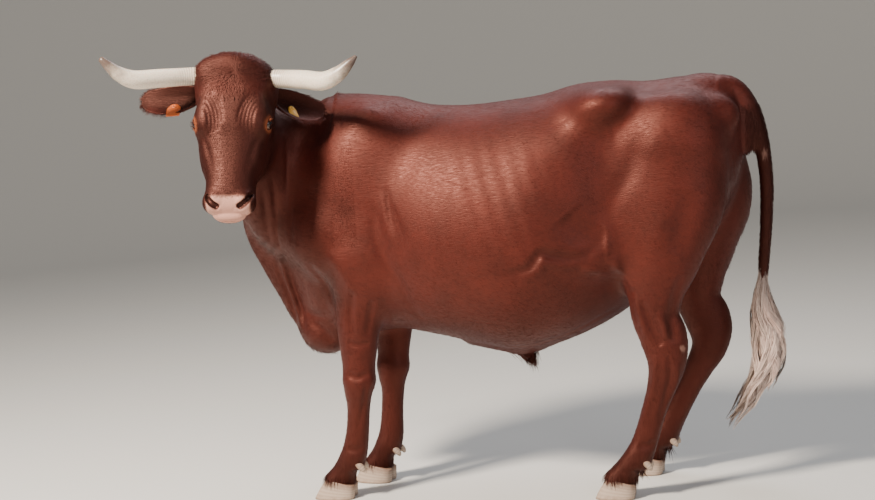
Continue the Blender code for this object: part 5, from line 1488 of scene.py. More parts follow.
def claw_rings(x, y, long, turn, side):
    a = math.radians(turn)
    ahead = np.array([-math.cos(a), math.sin(a), 0.0])
    left = np.array([-ahead[1], ahead[0], 0.0])
    outline = closed_curve(CLAW_OUTLINE)
    rings = []
    levels = np.concatenate([[0.0, 0.012, 0.035], np.linspace(0.07, 0.97, CLAW_LEVELS), [1.0]])
    for t in levels:
        ring = []
        bevel = 0.93 + 0.07 * min(1.0, t / 0.06) ** 0.5
        if t > 0.98:
            bevel = 0.97
        wave = HOOF_RING_HIGH * math.cos(2 * math.pi * HOOF_RINGS * t) * min(1.0, 6 * t) / long
        for f, o in outline:
            f_in = f * (bevel + wave)
            back = TOE_SLOPE * t * (f + 0.5) + 0.004 * t * (0.5 - f)
            u = long * f_in - back
            v = side * (CLEFT + CLAW_WIDE * (0.04 + 0.96 * o) * (bevel + wave * (o > 0.3) - 0.13 * t * o))
            high = HEEL_HIGH + (TOE_HIGH - HEEL_HIGH) * (u / long + 0.5) / (1 - TOE_SLOPE / long)
            ring.append(np.array([x, y, 0]) + ahead * u + left * v + np.array([0, 0, t * (high - 0.0005)]))
        rings.append(ring)
    return rings, levels


# Hoof horn: ivory, brown by the coronet and earth-stained at the ground, dull where it is worn.
def hoof_keratin():
    mat, tree = new_material("hoof_horn_wall")
    place = add(tree, "TexCoord").outputs["Object"]
    share = add(tree, "Attribute", {"attribute_name": "share"}).outputs["Fac"]
    cloud = add(tree, "TexNoise", None,
        {"Vector": place, "Scale": 55.0, "Detail": 5.0, "Roughness": 0.65})
    fibre = add(tree, "TexNoise", None, {
        "Vector": add(tree, "VectorMath", {"operation": "MULTIPLY"}, {
            0: place, 1: (900.0, 900.0, 60.0)}), "Scale": 1.0, "Detail": 2.0})
    mixed = add(tree, "Math", {"operation": "MULTIPLY_ADD"},
        {0: cloud, 1: 0.5, 2: share})
    top = add(tree, "MapRange", None,
        {"Value": mixed, "From Min": 0.80, "From Max": 1.35})
    low = add(tree, "MapRange", None,
        {"Value": mixed, "From Min": 0.22, "From Max": 0.46,
        "To Min": 0.60, "To Max": 0.0})
    rings = add(tree, "Math", {"operation": "SINE"}, {
        0: add(tree, "Math", {"operation": "MULTIPLY"},
            {0: share, 1: 2 * math.pi * HOOF_RINGS})})
    band = add(tree, "MapRange", None, {
        "Value": rings, "From Min": -1.0, "From Max": 1.0, "To Min": 0.0, "To Max": 0.30})
    ivory = add(tree, "Mix", {"data_type": "RGBA"}, {
        0: band, 6: linear(HOOF_IVORY), 7: linear(HOOF_BROWN)})
    warm = add(tree, "Mix", {"data_type": "RGBA"},
        {0: top, 6: ivory.outputs[2], 7: linear(HOOF_BROWN)})
    colour = add(tree, "Mix", {"data_type": "RGBA"},
        {0: low, 6: warm.outputs[2], 7: linear(HOOF_EARTH)})
    bump = add(tree, "Bump", None,
        {"Strength": 0.5, "Distance": 0.0006, "Height": fibre})
    rough = add(tree, "MapRange", None, {
        "Value": cloud, "From Min": 0.3, "From Max": 0.7, "To Min": 0.42, "To Max": 0.62})
    shader = add(tree, "BsdfPrincipled", None, {
        "Base Color": colour.outputs[2], "Roughness": rough, "IOR": 1.54,
        "Normal": bump})
    add(tree, "OutputMaterial", None, {"Surface": shader})
    return mat


hoof_finish = hoof_keratin()


def finish_hoof(ob, node, share):
    fit_normals(ob)
    store_values(ob, {"share": share})
    ob.data.materials.append(hoof_finish)
    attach(ob, "root")
    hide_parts(node)


DEW_SIDES = 28
for foot, x, y, long, turn, fetlock in FEET:
    a = math.radians(turn)
    ahead = np.array([-math.cos(a), math.sin(a), 0.0])
    left = np.array([-ahead[1], ahead[0], 0.0])
    for side, word in ((1, "left"), (-1, "right")):
        rings, levels = claw_rings(x, y, long, turn, side)
        points, tris = stacked(rings)
        share = np.concatenate([np.repeat(levels, len(rings[0])), [0, 1]])
        finish_hoof(mesh_object(f"hoof_{foot}_{word}", points + ORIGIN, tris), f"claw_{foot}_{word}", share)
        spot = np.array(fetlock) + left * side * 0.026
        back = -0.018 * ahead
        down = np.array([0, 0, -0.016])
        path = smooth_rows(np.array([
            (*(spot - back - down * 0.6), 0.0088), (*(spot - 0.2 * back), 0.0122),
            (*(spot + 0.35 * back + down * 0.7), 0.0098), (*(spot + 0.55 * back + down * 1.3), 0.0038),
        ]), 8)
        way = np.gradient(path[:, :3], axis=0)
        way = unit(way)
        rings = []
        for i, row in enumerate(path):
            s = np.cross(way[i], left)
            s /= np.linalg.norm(s)
            u = np.cross(s, way[i])
            r = row[3] - 0.0003 + 0.0004 * math.sin(i * 1.6)
            rings.append([row[:3] + r * (math.cos(b) * s + math.sin(b) * u)
                          for b in np.linspace(0, 2 * math.pi, DEW_SIDES, endpoint=False)])
        points, tris = stacked(rings)
        share = np.concatenate([np.repeat(np.linspace(1, 0.2, len(path)), DEW_SIDES), [1, 0.2]])
        finish_hoof(mesh_object(f"dew_{foot}_{word}", points + ORIGIN, tris), f"dewclaw_{foot}_{word}", share)

# Ear tags. Moulded polyurethane: a soft plate on a round stud before the ear, pinned through to a button
# behind it. The right ear's is orange and square, the left ear's is yellow and small. Both are blank.
TAGS = {
    "right": {"u": 0.50, "v": 0.45, "long": 0.052, "wide": 0.048, "neck": 0.020, "hex": "#D8692E"},
    "left": {"u": 0.46, "v": 0.16, "long": 0.046, "wide": 0.028, "neck": 0.014, "hex": "#E2A63C"},
}
TAG_THICK = 0.0017
TAG_CORNER = 0.005
TAG_BEFORE_EAR = 0.0090
TAG_EDGE = 0.0003
TAG_DUST = "#8F6E55"
DISC_LEAST = 0.0003
STUD = [(0.0, 0.0132), (0.0060, 0.0130), (0.0088, 0.0122), (0.0102, 0.0108), (0.0104, 0.0090),
    (0.0098, 0.0086)]


# Rounded plate outline, its origin at the stud, falling along the first axis.
def tag_outline(tag):
    half = tag["wide"] / 2
    long = tag["long"]
    corners = [
        (-0.010, -tag["neck"] / 2, 0.006), (-0.010, tag["neck"] / 2, 0.006), (0.008, half, TAG_CORNER),
        (long, half, TAG_CORNER), (long, -half, TAG_CORNER), (0.008, -half, TAG_CORNER),
    ]
    out = []
    n = len(corners)
    for i in range(n):
        p = np.array(corners[i][:2])
        r = corners[i][2]
        a = np.array(corners[i - 1][:2]) - p
        b = np.array(corners[(i + 1) % n][:2]) - p
        a = a / np.linalg.norm(a)
        b = b / np.linalg.norm(b)
        for t in np.linspace(0, 1, 7):
            out.append((1 - t) ** 2 * (p + a * r) + 2 * t * (1 - t) * p + t * t * (p + b * r))
    return np.array(out)


def turned_disc(place, axis, side_a, side_b, rows, sides=32):
    turns = np.linspace(0, 2 * math.pi, sides, endpoint=False)
    spokes = [math.cos(a) * side_a + math.sin(a) * side_b for a in turns]
    rings = []
    for radius, height in rows:
        wide = max(radius, DISC_LEAST)
        rings.append([place + axis * height + wide * spoke for spoke in spokes])
    return stacked(rings)


# Soft moulded plastic, faded by sun: low gloss, with a fine orange-peel skin and dust in it.
def tag_plastic(name, tint):
    mat, tree = new_material(name)
    place = add(tree, "TexCoord").outputs["Object"]
    dust = add(tree, "TexNoise", None,
        {"Vector": place, "Scale": 120.0, "Detail": 5.0, "Roughness": 0.7})
    share = add(tree, "MapRange", None, {
        "Value": dust, "From Min": 0.5, "From Max": 0.85, "To Max": 0.45})
    colour = add(tree, "Mix", {"data_type": "RGBA"},
        {0: share, 6: linear(tint), 7: linear(TAG_DUST)})
    peel = add(tree, "TexNoise", None, {"Vector": place, "Scale": 700.0, "Detail": 2.0})
    bump = add(tree, "Bump", None,
        {"Strength": 0.25, "Distance": 0.0003, "Height": peel})
    shader = add(tree, "BsdfPrincipled", None, {
        "Base Color": colour.outputs[2], "Roughness": 0.42, "IOR": 1.50, "Normal": bump})
    add(tree, "OutputMaterial", None, {"Surface": shader})
    return mat


for side, tag in TAGS.items():
    place = ear_place(side)
    u, v = np.array([tag["u"]]), np.array([tag["v"]])
    spot = ear_point(place, u, v)[0][0]
    n = ear_normal(place, u, v)[0]
    fall = np.array([0.0, 0.0, -1.0])
    fall = fall - n * (fall @ n)
    fall /= np.linalg.norm(fall)
    across = np.cross(fall, n)
    outline = tag_outline(tag)
    inner = outline * 0.985
    rings = []
    for shape, high in ((inner, 0.0), (outline, TAG_EDGE), (outline, TAG_THICK - TAG_EDGE),
        (inner, TAG_THICK)):
        bows = [TAG_BEFORE_EAR + high + 0.010 * max(f, 0) ** 2 / 0.05 for f, o in shape]
        rings.append([spot + n * bow + fall * f + across * o for bow, (f, o) in zip(bows, shape)])
    pieces = [stacked(rings)]
    pieces.append(turned_disc(spot, n, fall, across, STUD[::-1] + [(0.0030, 0.0086), (0.0030, -0.0085)]))
    pieces.append(turned_disc(spot, -n, fall, across, [(r, h - 0.0012) for r, h in STUD[::-1]]))
    count = 0
    points, tris = [], []
    for p, t in pieces:
        points.append(p)
        tris.append(t + count)
        count += len(p)
    ob = mesh_object("tag_plate_" + side, np.concatenate(points) + ORIGIN, np.concatenate(tris))
    fit_normals(ob)
    colour_name = "orange" if side == "right" else "yellow"
    ob.data.materials.append(tag_plastic("moulded_tag_" + colour_name, tag["hex"]))
    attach(ob, "root")
    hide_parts("ear_tag_" + side)

# Coat tufts. Straight guard hair, from 6 mm long on the face to 30 mm on the tail. It lies back along the
# body and down the legs, and turns out of a whorl on the poll. Each tuft is a thin closed blade.
SEED = 41


# Closed tapered blades along paths (count, stations, 3); the last station is the tip.
def blades(paths, flat, half_wide, half_thick):
    count, stations = paths.shape[:2]
    d = np.gradient(paths, axis=1)
    d /= np.maximum(np.linalg.norm(d, axis=2), 1e-9)[..., None]
    if flat.ndim == 2:
        flat = np.repeat(flat[:, None], stations, 1)
    side = np.cross(d, flat)
    side /= np.maximum(np.linalg.norm(side, axis=2), 1e-9)[..., None]
    out = np.cross(side, d)
    t = np.linspace(0, 1, stations)[None, :]
    taper = np.minimum(1.0, 0.6 + 1.6 * t) * (1 - 0.75 * t ** 1.8)
    w = (half_wide[:, None] * taper)[..., None]
    h = (half_thick[:, None] * taper)[..., None]
    rings = np.stack([paths + side * w - out * h * 0.4, paths + out * h, paths - side * w - out * h * 0.4], 2)
    body = rings[:, :-1].reshape(count, -1, 3)
    points = np.concatenate([body, paths[:, -1:]], 1)
    tris = [(0, 1, 2)]
    for i in range(stations - 2):
        for j in range(3):
            a, b = 3 * i + j, 3 * i + (j + 1) % 3
            tris += [(a, b + 3, b), (a, a + 3, b + 3)]
    top = 3 * (stations - 2)
    tip = 3 * (stations - 1)
    for j in range(3):
        tris.append((top + (j + 1) % 3, top + j, tip))
    per = points.shape[1]
    faces = np.array(tris)[None] + per * np.arange(count)[:, None, None]
    along = np.concatenate([np.repeat(np.linspace(0, 1, stations)[:-1], 3), [1.0]])
    across = np.concatenate([np.tile([0.0, 0.5, 1.0], stations - 1), [0.5]])
    return points.reshape(-1, 3), faces.reshape(-1, 3), along, across


BODY_AXES = {
    "trunk": ((-0.55, 0.0, 0.96), (1.10, 0.0, 0.96)),
    "neck": ((-0.60, -0.27, 1.33), (-0.15, 0.0, 1.10)),
    "head": (tuple(from_head((-0.05, 0, -0.11))[0]), tuple(from_head((0.52, 0, -0.09))[0])),
    "fore_left": ((-0.24, -0.155, 0.80), (-0.40, -0.136, 0.03)),
    "fore_right": ((-0.21, 0.145, 0.80), (-0.32, 0.095, 0.03)),
    "hind_left": ((0.82, -0.165, 0.80), (0.64, -0.170, 0.03)),
    "hind_right": ((0.90, 0.160, 0.80), (0.69, 0.160, 0.03)),
    "tail": ((1.13, 0.01, 1.34), (1.10, 0.02, 0.17)),
    "ear_left": (EARS["left"][0], EARS["left"][1]),
    "ear_right": (EARS["right"][0], EARS["right"][1]),
}
PART_NAMES = list(BODY_AXES)
NECK_PART, HEAD_PART, TAIL_PART = 1, 2, 7
LEG_PARTS = (3, 4, 5, 6)
EAR_PARTS = ((8, "left"), (9, "right"))
TILES = 4


# Which part of the body each point belongs to, as its place in the list of names.
def body_part(p):
    part = np.zeros(len(p), int)
    x, y, z = p.T
    part[(x + 0.52) * 0.970 - (z - 0.62) * 0.242 < 0] = NECK_PART
    legs = z < 0.66
    quarters = [(x < 0.2) & (y < 0), (x < 0.2) & (y >= 0), (x >= 0.5) & (y < 0), (x >= 0.5) & (y >= 0)]
    for i, keep in zip(LEG_PARTS, quarters):
        part[legs & keep & ((z < 0.50) | (np.abs(y) > 0.07))] = i
    part[head_share(p) > 0.5] = HEAD_PART
    part[(x > TAIL_FROM + 0.02) & (z < 1.31)] = TAIL_PART
    for i, side in EAR_PARTS:
        part[near_ear(p, side, 0.014)] = i
    return part


# Place of each point on a chart that unrolls every body part round its own axis, one tile for each part.
def unrolled(p, part):
    uv = np.zeros((len(p), 2))
    for i, name in enumerate(PART_NAMES):
        a, b = (np.array(end, float) for end in BODY_AXES[name])
        if name.startswith("ear"):
            a, b = from_head(a)[0], from_head(b)[0]
        axis = b - a
        long = np.linalg.norm(axis)
        axis /= long
        up = np.array([0, 0, 1.0]) if abs(axis[2]) < 0.8 else np.array([1.0, 0, 0])
        s = np.cross(axis, up)
        s /= np.linalg.norm(s)
        t = np.cross(s, axis)
        here = part == i
        e = p[here] - a
        v = np.clip((e @ axis) / long, -0.1, 1.1)
        u = np.arctan2(e @ s, e @ t) / (2 * math.pi) + 0.5
        uv[here, 0] = (i % TILES + 0.03 + 0.94 * u) / TILES
        uv[here, 1] = (i // TILES + 0.05 + 0.90 * (v + 0.1) / 1.2) / TILES
    return uv


WHORL = np.array([0.030, 0.012, 0.006])


# Direction in which the coat lies.
def lie(p, part):
    way = np.zeros_like(p)
    way[:] = (1.0, 0.0, -0.30)
    way[:, 2] -= 0.5 * step(1.30 - p[:, 2], 0.0, 0.6)
    way[part == NECK_PART] = (0.75, 0.35, -0.65)
    head = part == HEAD_PART
    q = to_head(p)
    fan = q - WHORL
    fan[:, 0] += 0.35 * step(q[:, 0], 0.03, 0.25)
    fan[:, 2] *= 0.5
    way[head] = fan[head] @ HEAD_AXES
    for i in LEG_PARTS:
        way[part == i] = (0.15, 0.0, -1.0)
    way[part == TAIL_PART] = (0.03, 0.0, -1.0)
    for i, side in EAR_PARTS:
        along, wide = ear_place(side)[1:3]
        v = ear_coordinates(p, side)[1]
        here = part == i
        way[here] = along + (0.55 * v[here])[:, None] * wide
    return way


# Roots spread over the hide by area; each with its place, the skin's normal there and its body part.
hide_points = points_of(hide) - ORIGIN
hide.data.calc_loop_triangles()
hide_tris = np.empty(len(hide.data.loop_triangles) * 3, np.int32)
hide.data.loop_triangles.foreach_get("vertices", hide_tris)
hide_tris = hide_tris.reshape(-1, 3)
hide_normals = point_normals(hide_points, hide_tris)
corners = hide_points[hide_tris]
tri_cross = np.cross(corners[:, 1] - corners[:, 0], corners[:, 2] - corners[:, 0])
tri_area = 0.5 * np.linalg.norm(tri_cross, axis=1)
tri_mid = corners.mean(1)
tri_part = body_part(tri_mid)
tri_marks = markings(tri_mid)
tri_bare = np.clip(sum(tri_marks[zone] for zone in ("muzzle", "lid", "nostril")), 0, 1)


def roots(rng, count, density):
    weight = tri_area * density * (1 - tri_bare)
    chosen = rng.choice(len(tri_area), count, p=weight / weight.sum())
    k = rng.random((count, 2))
    k[k.sum(1) > 1] = 1 - k[k.sum(1) > 1]
    w = np.stack([1 - k.sum(1), k[:, 0], k[:, 1]], 1)[..., None]
    p = (corners[chosen] * w).sum(1)
    n = (hide_normals[hide_tris[chosen]] * w).sum(1)
    return p, unit(n), tri_part[chosen]


# Coat of mahogany hair: the skin's own colours, each tuft a little paler or darker, paler towards its tip.
def guard_hair():
    mat, tree = new_material("mahogany_guard_hair")
    place = add(tree, "TexCoord").outputs["Object"]
    colour = hide_colours(tree, place)
    tint = add(tree, "Attribute", {"attribute_name": "tint"})
    value = add(tree, "MapRange", None,
        {"Value": tint.outputs["Fac"], "To Min": 0.80, "To Max": 1.25})
    shaded = add(tree, "HueSaturation", None, {"Color": colour, "Value": value})
    shader = add(tree, "BsdfPrincipled", None, {
        "Base Color": shaded, "Roughness": 0.50, "Specular IOR Level": 0.66,
        "Specular Tint": linear(COAT_GLOSS), "Sheen Weight": 0.02, "Sheen Tint": linear(COAT_SHEEN)})
    add(tree, "OutputMaterial", None, {"Surface": shader})
    return mat


coat_finish = guard_hair()
PATCH_SIZE = 0.003
SKIN_LEAN = 0.72


# Fine hair takes the light much as the skin under it does, so its normals lean towards the skin's.
def shaded_as_skin(ob, n):
    own = np.empty(len(n) * 3, np.float32)
    ob.data.vertices.foreach_get("co", own)
    ob.data.shade_smooth()
    ob.data.update()
    ob.data.vertex_normals.foreach_get("vector", own)
    leaning = (1 - SKIN_LEAN) * own.reshape(-1, 3) + SKIN_LEAN * n
    leaning = unit(leaning)
    ob.data.normals_split_custom_set_from_vertices(leaning)


def coat_piece(name, p, n, part, paths, flat, half_wide, half_thick, rng, finish=None):
    points, tris, along, across = blades(paths, flat, half_wide, half_thick)
    per = len(along)
    ob = mesh_object(name, points + ORIGIN, tris)
    marks = {key: np.repeat(value, per) for key, value in markings(p).items()}
    own_tint = np.repeat(rng.normal(0.42, 0.16, len(p)), per)
    marks["tint"] = np.clip(own_tint + 0.22 * np.tile(along, len(p)), 0, 1)
    store_values(ob, marks)
    chart = np.repeat(unrolled(p, part), per, 0)
    chart[:, 0] += PATCH_SIZE * (np.tile(across, len(p)) - 0.5)
    chart[:, 1] += PATCH_SIZE * (np.tile(along, len(p)) - 0.5)
    layer = ob.data.uv_layers.new(name="OFBake")
    layer.data.foreach_set("uv", chart[tris.ravel()].astype(np.float32).ravel())
    ob.data.materials.append(finish or coat_finish)
    shaded_as_skin(ob, np.repeat(n, per, 0))
    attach(ob, "root")
    return ob


# Paths of tufts that come out of the skin, rise a little and then run along it, each bent its own way.
def lying_paths(p, n, part, rng, long, lift, stations, stray, sink=0.0012):
    way = lie(p, part)
    way = unit(way)
    way += stray * np.stack([soft_spots(p, 24.0, 3), soft_spots(p, 24.0, 4), soft_spots(p, 24.0, 5)], 1)
    way += 0.5 * stray * rng.normal(size=p.shape)
    way -= n * (way * n).sum(1)[:, None]
    way = unit(way, 1e-6)
    bend = np.cross(n, way) * (0.35 * rng.normal(size=len(p)) * stray)[:, None]
    t = np.linspace(0, 1, stations)[None, :, None]
    rise = -sink + (sink + lift[:, None, None]) * np.sin(np.minimum(1.0, 1.4 * t) * math.pi / 2)
    return p[:, None] + way[:, None] * long[:, None, None] * t + bend[:, None] * long[:, None, None] * t * t \
        + n[:, None] * rise, n


less = 1.0


# One coat layer: name, count, where it grows, length, half width, lift, stations, stray.
def coat_layer(name, count, density, long, wide, lift, stations, stray, seed):
    rng = np.random.default_rng(SEED + seed)
    count = int(count * less)
    p, n, part = roots(rng, count, density)
    size = rng.uniform(0.75, 1.25, count)
    paths, flat = lying_paths(p, n, part, rng, long * size, lift * rng.uniform(0.5, 1.3, count), stations,
        stray)
    coat_piece(name, p, n, part, paths, flat, wide * rng.uniform(0.7, 1.2, count),
        wide * 0.45 * np.ones(count), rng)


mid = tri_mid
left = mid[:, 1] < 0
is_part = [(tri_part == i).astype(float) for i in range(len(PART_NAMES))]
under = step(0.75 - mid[:, 2], 0.0, 0.12)
for word, here, seed in (("left", left, 1), ("right", ~left, 2)):
    coat_layer("coat_trunk_" + word, 13500, is_part[0] * here * (1 + 0.6 * under), 0.018, 0.0007, 0.0006, 3,
        0.10, seed)
coat_layer("coat_neck", 10500, is_part[1], 0.018, 0.0007, 0.0010, 3, 0.14, 3)
q_mid = to_head(mid)
for word, here, seed in (("left", q_mid[:, 1] > 0, 4), ("right", q_mid[:, 1] <= 0, 5)):
    small = is_part[2] * here * (1.0 + 1.2 * step(q_mid[:, 0], 0.05, 0.3))
    coat_layer("coat_face_" + word, 10500, small, 0.0085, 0.00055, 0.0009, 3, 0.16, seed)
for i in LEG_PARTS:
    coat_layer("coat_" + PART_NAMES[i], 4600, is_part[i], 0.012, 0.0008, 0.0011, 3, 0.12, 6 + i)
coat_layer("coat_ears", 6000, is_part[8] + is_part[9], 0.012, 0.0006, 0.0012, 3, 0.20, 20)
coat_layer("coat_tail", 3600, is_part[7], 0.024, 0.0009, 0.0024, 3, 0.12, 21)

# Curly forelock on the poll: matted locks 12 to 28 mm long thrown out of the whorl between the horns.
rng = np.random.default_rng(SEED + 30)
off_poll = ((q_mid[:, 0] - 0.030) / 0.048) ** 2 + (q_mid[:, 1] / 0.085) ** 2
poll = is_part[2] * np.exp(-off_poll) * (q_mid[:, 2] > -0.06)
count = int(3300 * less)
p, n, part = roots(rng, count, poll)
way = lie(p, part)
way -= n * (way * n).sum(1)[:, None]
way = unit(way, 1e-6)
long = rng.uniform(0.012, 0.028, count)
curl = rng.uniform(0.0012, 0.0030, count)
turns = rng.uniform(0.7, 1.5, count)
phase = rng.uniform(0, 6.283, count)
stations = 6
t = np.linspace(0, 1, stations)[None, :]
side = np.cross(n, way)
wave = curl[:, None] * np.sin(2 * math.pi * turns[:, None] * t + phase[:, None]) * t
lift = -0.002 + 0.0055 * np.sin(math.pi * np.minimum(1, 1.1 * t)) * rng.uniform(0.5, 1.2, count)[:, None]
sideways = (wave + 0.25 * long[:, None] * t * t)[..., None]
paths = p[:, None] + way[:, None] * (long[:, None] * t)[..., None] + side[:, None] * sideways \
    + n[:, None] * (lift + 0.4 * wave)[..., None]
coat_piece("forelock", p, n, part, paths, n, rng.uniform(0.0006, 0.0011, count),
    rng.uniform(0.0004, 0.0006, count), rng)

# Fringes of the ears: soft hair 7 to 29 mm long from both rims and out of the cup.
for number, side_name in EAR_PARTS:
    rng = np.random.default_rng(SEED + 32 + number)
    place = ear_place(side_name)
    count = int(1100 * less)
    u = rng.uniform(0.06, 1.0, count) ** 0.9
    v = np.sign(rng.uniform(-1, 1, count)) * rng.uniform(0.78, 1.0, count)
    v = np.where(rng.random(count) < 0.25, rng.uniform(-0.7, 0.7, count), v)
    m, thick = ear_point(place, u, v)
    n = ear_normal(place, u, v)
    along, wide = place[1:3]
    p = m + n * (0.6 * thick)[:, None]
    way = along * 0.75 + wide * (0.60 * v)[:, None] + n * 0.22 + 0.16 * rng.normal(size=p.shape)
    way = unit(way)
    long = rng.uniform(0.010, 0.024, count) * (0.7 + 0.5 * np.sin(math.pi * u))
    t = np.linspace(0, 1, 6)[None, :, None]
    droop = np.array([0.25, 0.0, -1.0])
    paths = p[:, None] + way[:, None] * long[:, None, None] * t + droop * (0.35 * long[:, None, None] * t * t)
    coat_piece("ear_fringe_" + side_name, m, n, np.full(count, number), paths, n, np.full(count, 0.0005),
               np.full(count, 0.0003), rng)

# Longer hair on edges: the crest of the neck, dewlap and brisket, the belly, the sheath's tuft, the backs of
# the thighs, the fetlocks, and the coronets and heels, where it hangs over the hooves and breaks the outline.
ABOVE_GROUND = 0.003


def fringe(name, count, density, long, wide, fall, lift, seed, stations=5):
    rng = np.random.default_rng(SEED + seed)
    count = int(count * less)
    p, n, part = roots(rng, count, density)
    way = lie(p, part)
    way = unit(way)
    way = way + np.array(fall) + 0.14 * rng.normal(size=p.shape)
    way -= n * ((way * n).sum(1) - lift)[:, None]
    way = unit(way)
    size = long * rng.uniform(0.6, 1.2, count)
    t = np.linspace(0, 1, stations)[None, :, None]
    paths = p[:, None] - n[:, None] * 0.0015 + way[:, None] * size[:, None, None] * t
    paths = paths + np.array([0.0, 0.0, -1.0]) * (0.30 * size[:, None, None] * t * t)
    paths[..., 2] = np.maximum(paths[..., 2], ABOVE_GROUND)
    coat_piece(name, p, n, part, paths, n, wide * rng.uniform(0.7, 1.2, count), wide * 0.5 * np.ones(count),
        rng)


x, y, z = mid.T
off_crest = y + 0.35 * np.clip(-x - 0.35, 0, 1)
crest_line = np.exp(-off_crest ** 2 / 0.045 ** 2) * (z > 1.30) * (x < -0.05) * (is_part[0] + is_part[1])
fringe("crest_hair", 1300, crest_line, 0.026, 0.0009, (0.3, 0, 0), 0.10, 50)
edge = (is_part[1] + is_part[0]) * (x < -0.42) * (z < 1.12) * (np.abs(y + 0.06 * step(z, 0.7, 1.1)) < 0.045)
fringe("dewlap_hair", 1600, edge, 0.022, 0.0009, (0, 0, -0.8), 0.12, 51)
belly = is_part[0] * (np.abs(y) < 0.06) * (z < 0.66) * (x > -0.35) * (x < 0.65)
fringe("belly_hair", 900, belly, 0.015, 0.0008, (0.4, 0, -0.3), 0.08, 52)
tuft = is_part[0] * np.exp(-((x - 0.295) / 0.028) ** 2) * (np.abs(y) < 0.03) * (z < 0.515)
fringe("sheath_tuft", 260, tuft, 0.052, 0.0011, (0, 0, -3.0), 0.5, 53, 7)
thigh = (is_part[0] + is_part[5] + is_part[6]) * (x > 0.93) * (z > 0.55) * (z < 1.15) * (x < 1.12)
fringe("thigh_hair", 1400, thigh, 0.020, 0.0009, (0.1, 0, -0.6), 0.14, 54)
on_legs = sum(is_part[i] for i in LEG_PARTS)
heel = on_legs * (z < 0.15) * (z > 0.085)
fringe("fetlock_hair", 1500, heel, 0.020, 0.0007, (0.2, 0, -0.2), 0.12, 55)
coronet = on_legs * (z < 0.098) * (z > 0.050)
fringe("coronet_hair", 3600, coronet, 0.030, 0.0009, (0, 0, -0.6), 0.30, 56)

heels = sum(np.exp(-(((x - f[1] - 0.055) / 0.030) ** 2 + ((y - f[2]) / 0.045) ** 2)) for f in FEET)
fringe("heel_hair", 1200, heels * (z < 0.100) * (z > 0.045), 0.046, 0.0010, (0, 0, -1.5), 0.25, 57)

# Eyelashes: a row of stiff dark hairs along the upper lid.
rng = np.random.default_rng(SEED + 60)
for side_name, sign in (("left", 1), ("right", -1)):
    count = 70
    angle = rng.uniform(math.radians(25), math.radians(155), count)
    ring = np.stack([LID_LONG * 1.02 * np.cos(angle), LID_OPEN * 1.05 * np.sin(angle)], 1)
    base = EYE_AT + ring[:, :1] * EYE_ALONG + ring[:, 1:] * EYE_UP \
        + np.sqrt(np.clip((EYE_R + 0.002) ** 2 - (ring ** 2).sum(1), 0, 1))[:, None] * EYE_OUT
    way = 0.4 * ring[:, :1] / LID_LONG * EYE_ALONG + 0.5 * EYE_UP + 0.8 * EYE_OUT
    way = way + 0.08 * rng.normal(size=(count, 3))
    way = unit(way)
    t = np.linspace(0, 1, 5)[None, :, None]
    size = rng.uniform(0.008, 0.013, count)[:, None, None]
    q = base[:, None] + way[:, None] * size * t - EYE_UP * (0.35 * size * t * t)
    q[..., 1] *= sign
    paths = from_head(q.reshape(-1, 3)).reshape(count, 5, 3)
    p = paths[:, 0]
    flat = np.repeat((EYE_OUT * [1, sign, 1])[None] @ HEAD_AXES, count, 0)
    coat_piece("lashes_" + side_name, p, flat, np.full(count, HEAD_PART), paths, flat,
               np.full(count, 0.00035), np.full(count, 0.00025), rng)

# Tail switch. Long, wavy, straw-coloured hair from the end of the dock, bound into loose hanks by dirt and
# thinning to ragged ends; each hank is a bundle of fine strands round its own bent line.
SWITCH_SHAPE = np.array([
    (0.165, 0.975, 0.020, 0.010), (0.220, 1.010, 0.040, 0.020), (0.260, 1.055, 0.050, 0.028),
    (0.330, 1.094, 0.055, 0.036), (0.400, 1.130, 0.055, 0.041), (0.470, 1.141, 0.057, 0.043),
    (0.540, 1.138, 0.057, 0.041), (0.610, 1.122, 0.042, 0.034), (0.660, 1.122, 0.027, 0.025),
    (0.710, 1.130, 0.017, 0.017), (0.760, 1.135, 0.016, 0.016),
])
SWITCH_Y = 0.020
SWITCH_TOP = 0.735
SWITCH_LONG = 0.55
HANKS = 34
STRANDS = 46
STRAND_STATIONS = 14
GOLDEN_TURN = 2.39996
RAGGED_HANKS = (2, 5, 9)
SWITCH_ROOT = "#4A211A"
SWITCH_STRAW = "#CDA494"
SWITCH_BLEACHED = "#F2DCCD"
SWITCH_DIRT = "#82584A"


# Straw hair, darker and redder at its root on the dock, bleached at the tips.
def straw_hair():
    mat, tree = new_material("straw_switch_hair")
    place = add(tree, "TexCoord").outputs["Object"]
    along = add(tree, "Attribute", {"attribute_name": "along"})
    tint = add(tree, "Attribute", {"attribute_name": "tint"})
    dirt = add(tree, "TexNoise", None, {"Vector": place, "Scale": 26.0, "Detail": 4.0})
    top = add(tree, "MapRange", None,
        {"Value": along.outputs["Fac"], "From Min": 0.04, "From Max": 0.34})
    root = add(tree, "Mix", {"data_type": "RGBA"}, {
        0: top, 6: linear(SWITCH_ROOT), 7: linear(SWITCH_STRAW)})
    pale = add(tree, "Mix", {"data_type": "RGBA"}, {
        0: tint.outputs["Fac"], 6: root.outputs[2], 7: linear(SWITCH_BLEACHED)})
    stain = add(tree, "MapRange", None, {
        "Value": dirt, "From Min": 0.50, "From Max": 0.75, "To Max": 0.45})
    colour = add(tree, "Mix", {"data_type": "RGBA"},
        {0: stain, 6: pale.outputs[2], 7: linear(SWITCH_DIRT)})
    shader = add(tree, "BsdfPrincipled", None, {
        "Base Color": colour.outputs[2], "Roughness": 0.50, "Sheen Weight": 0.04, "Sheen Roughness": 0.5})
    add(tree, "OutputMaterial", None, {"Surface": shader})
    return mat


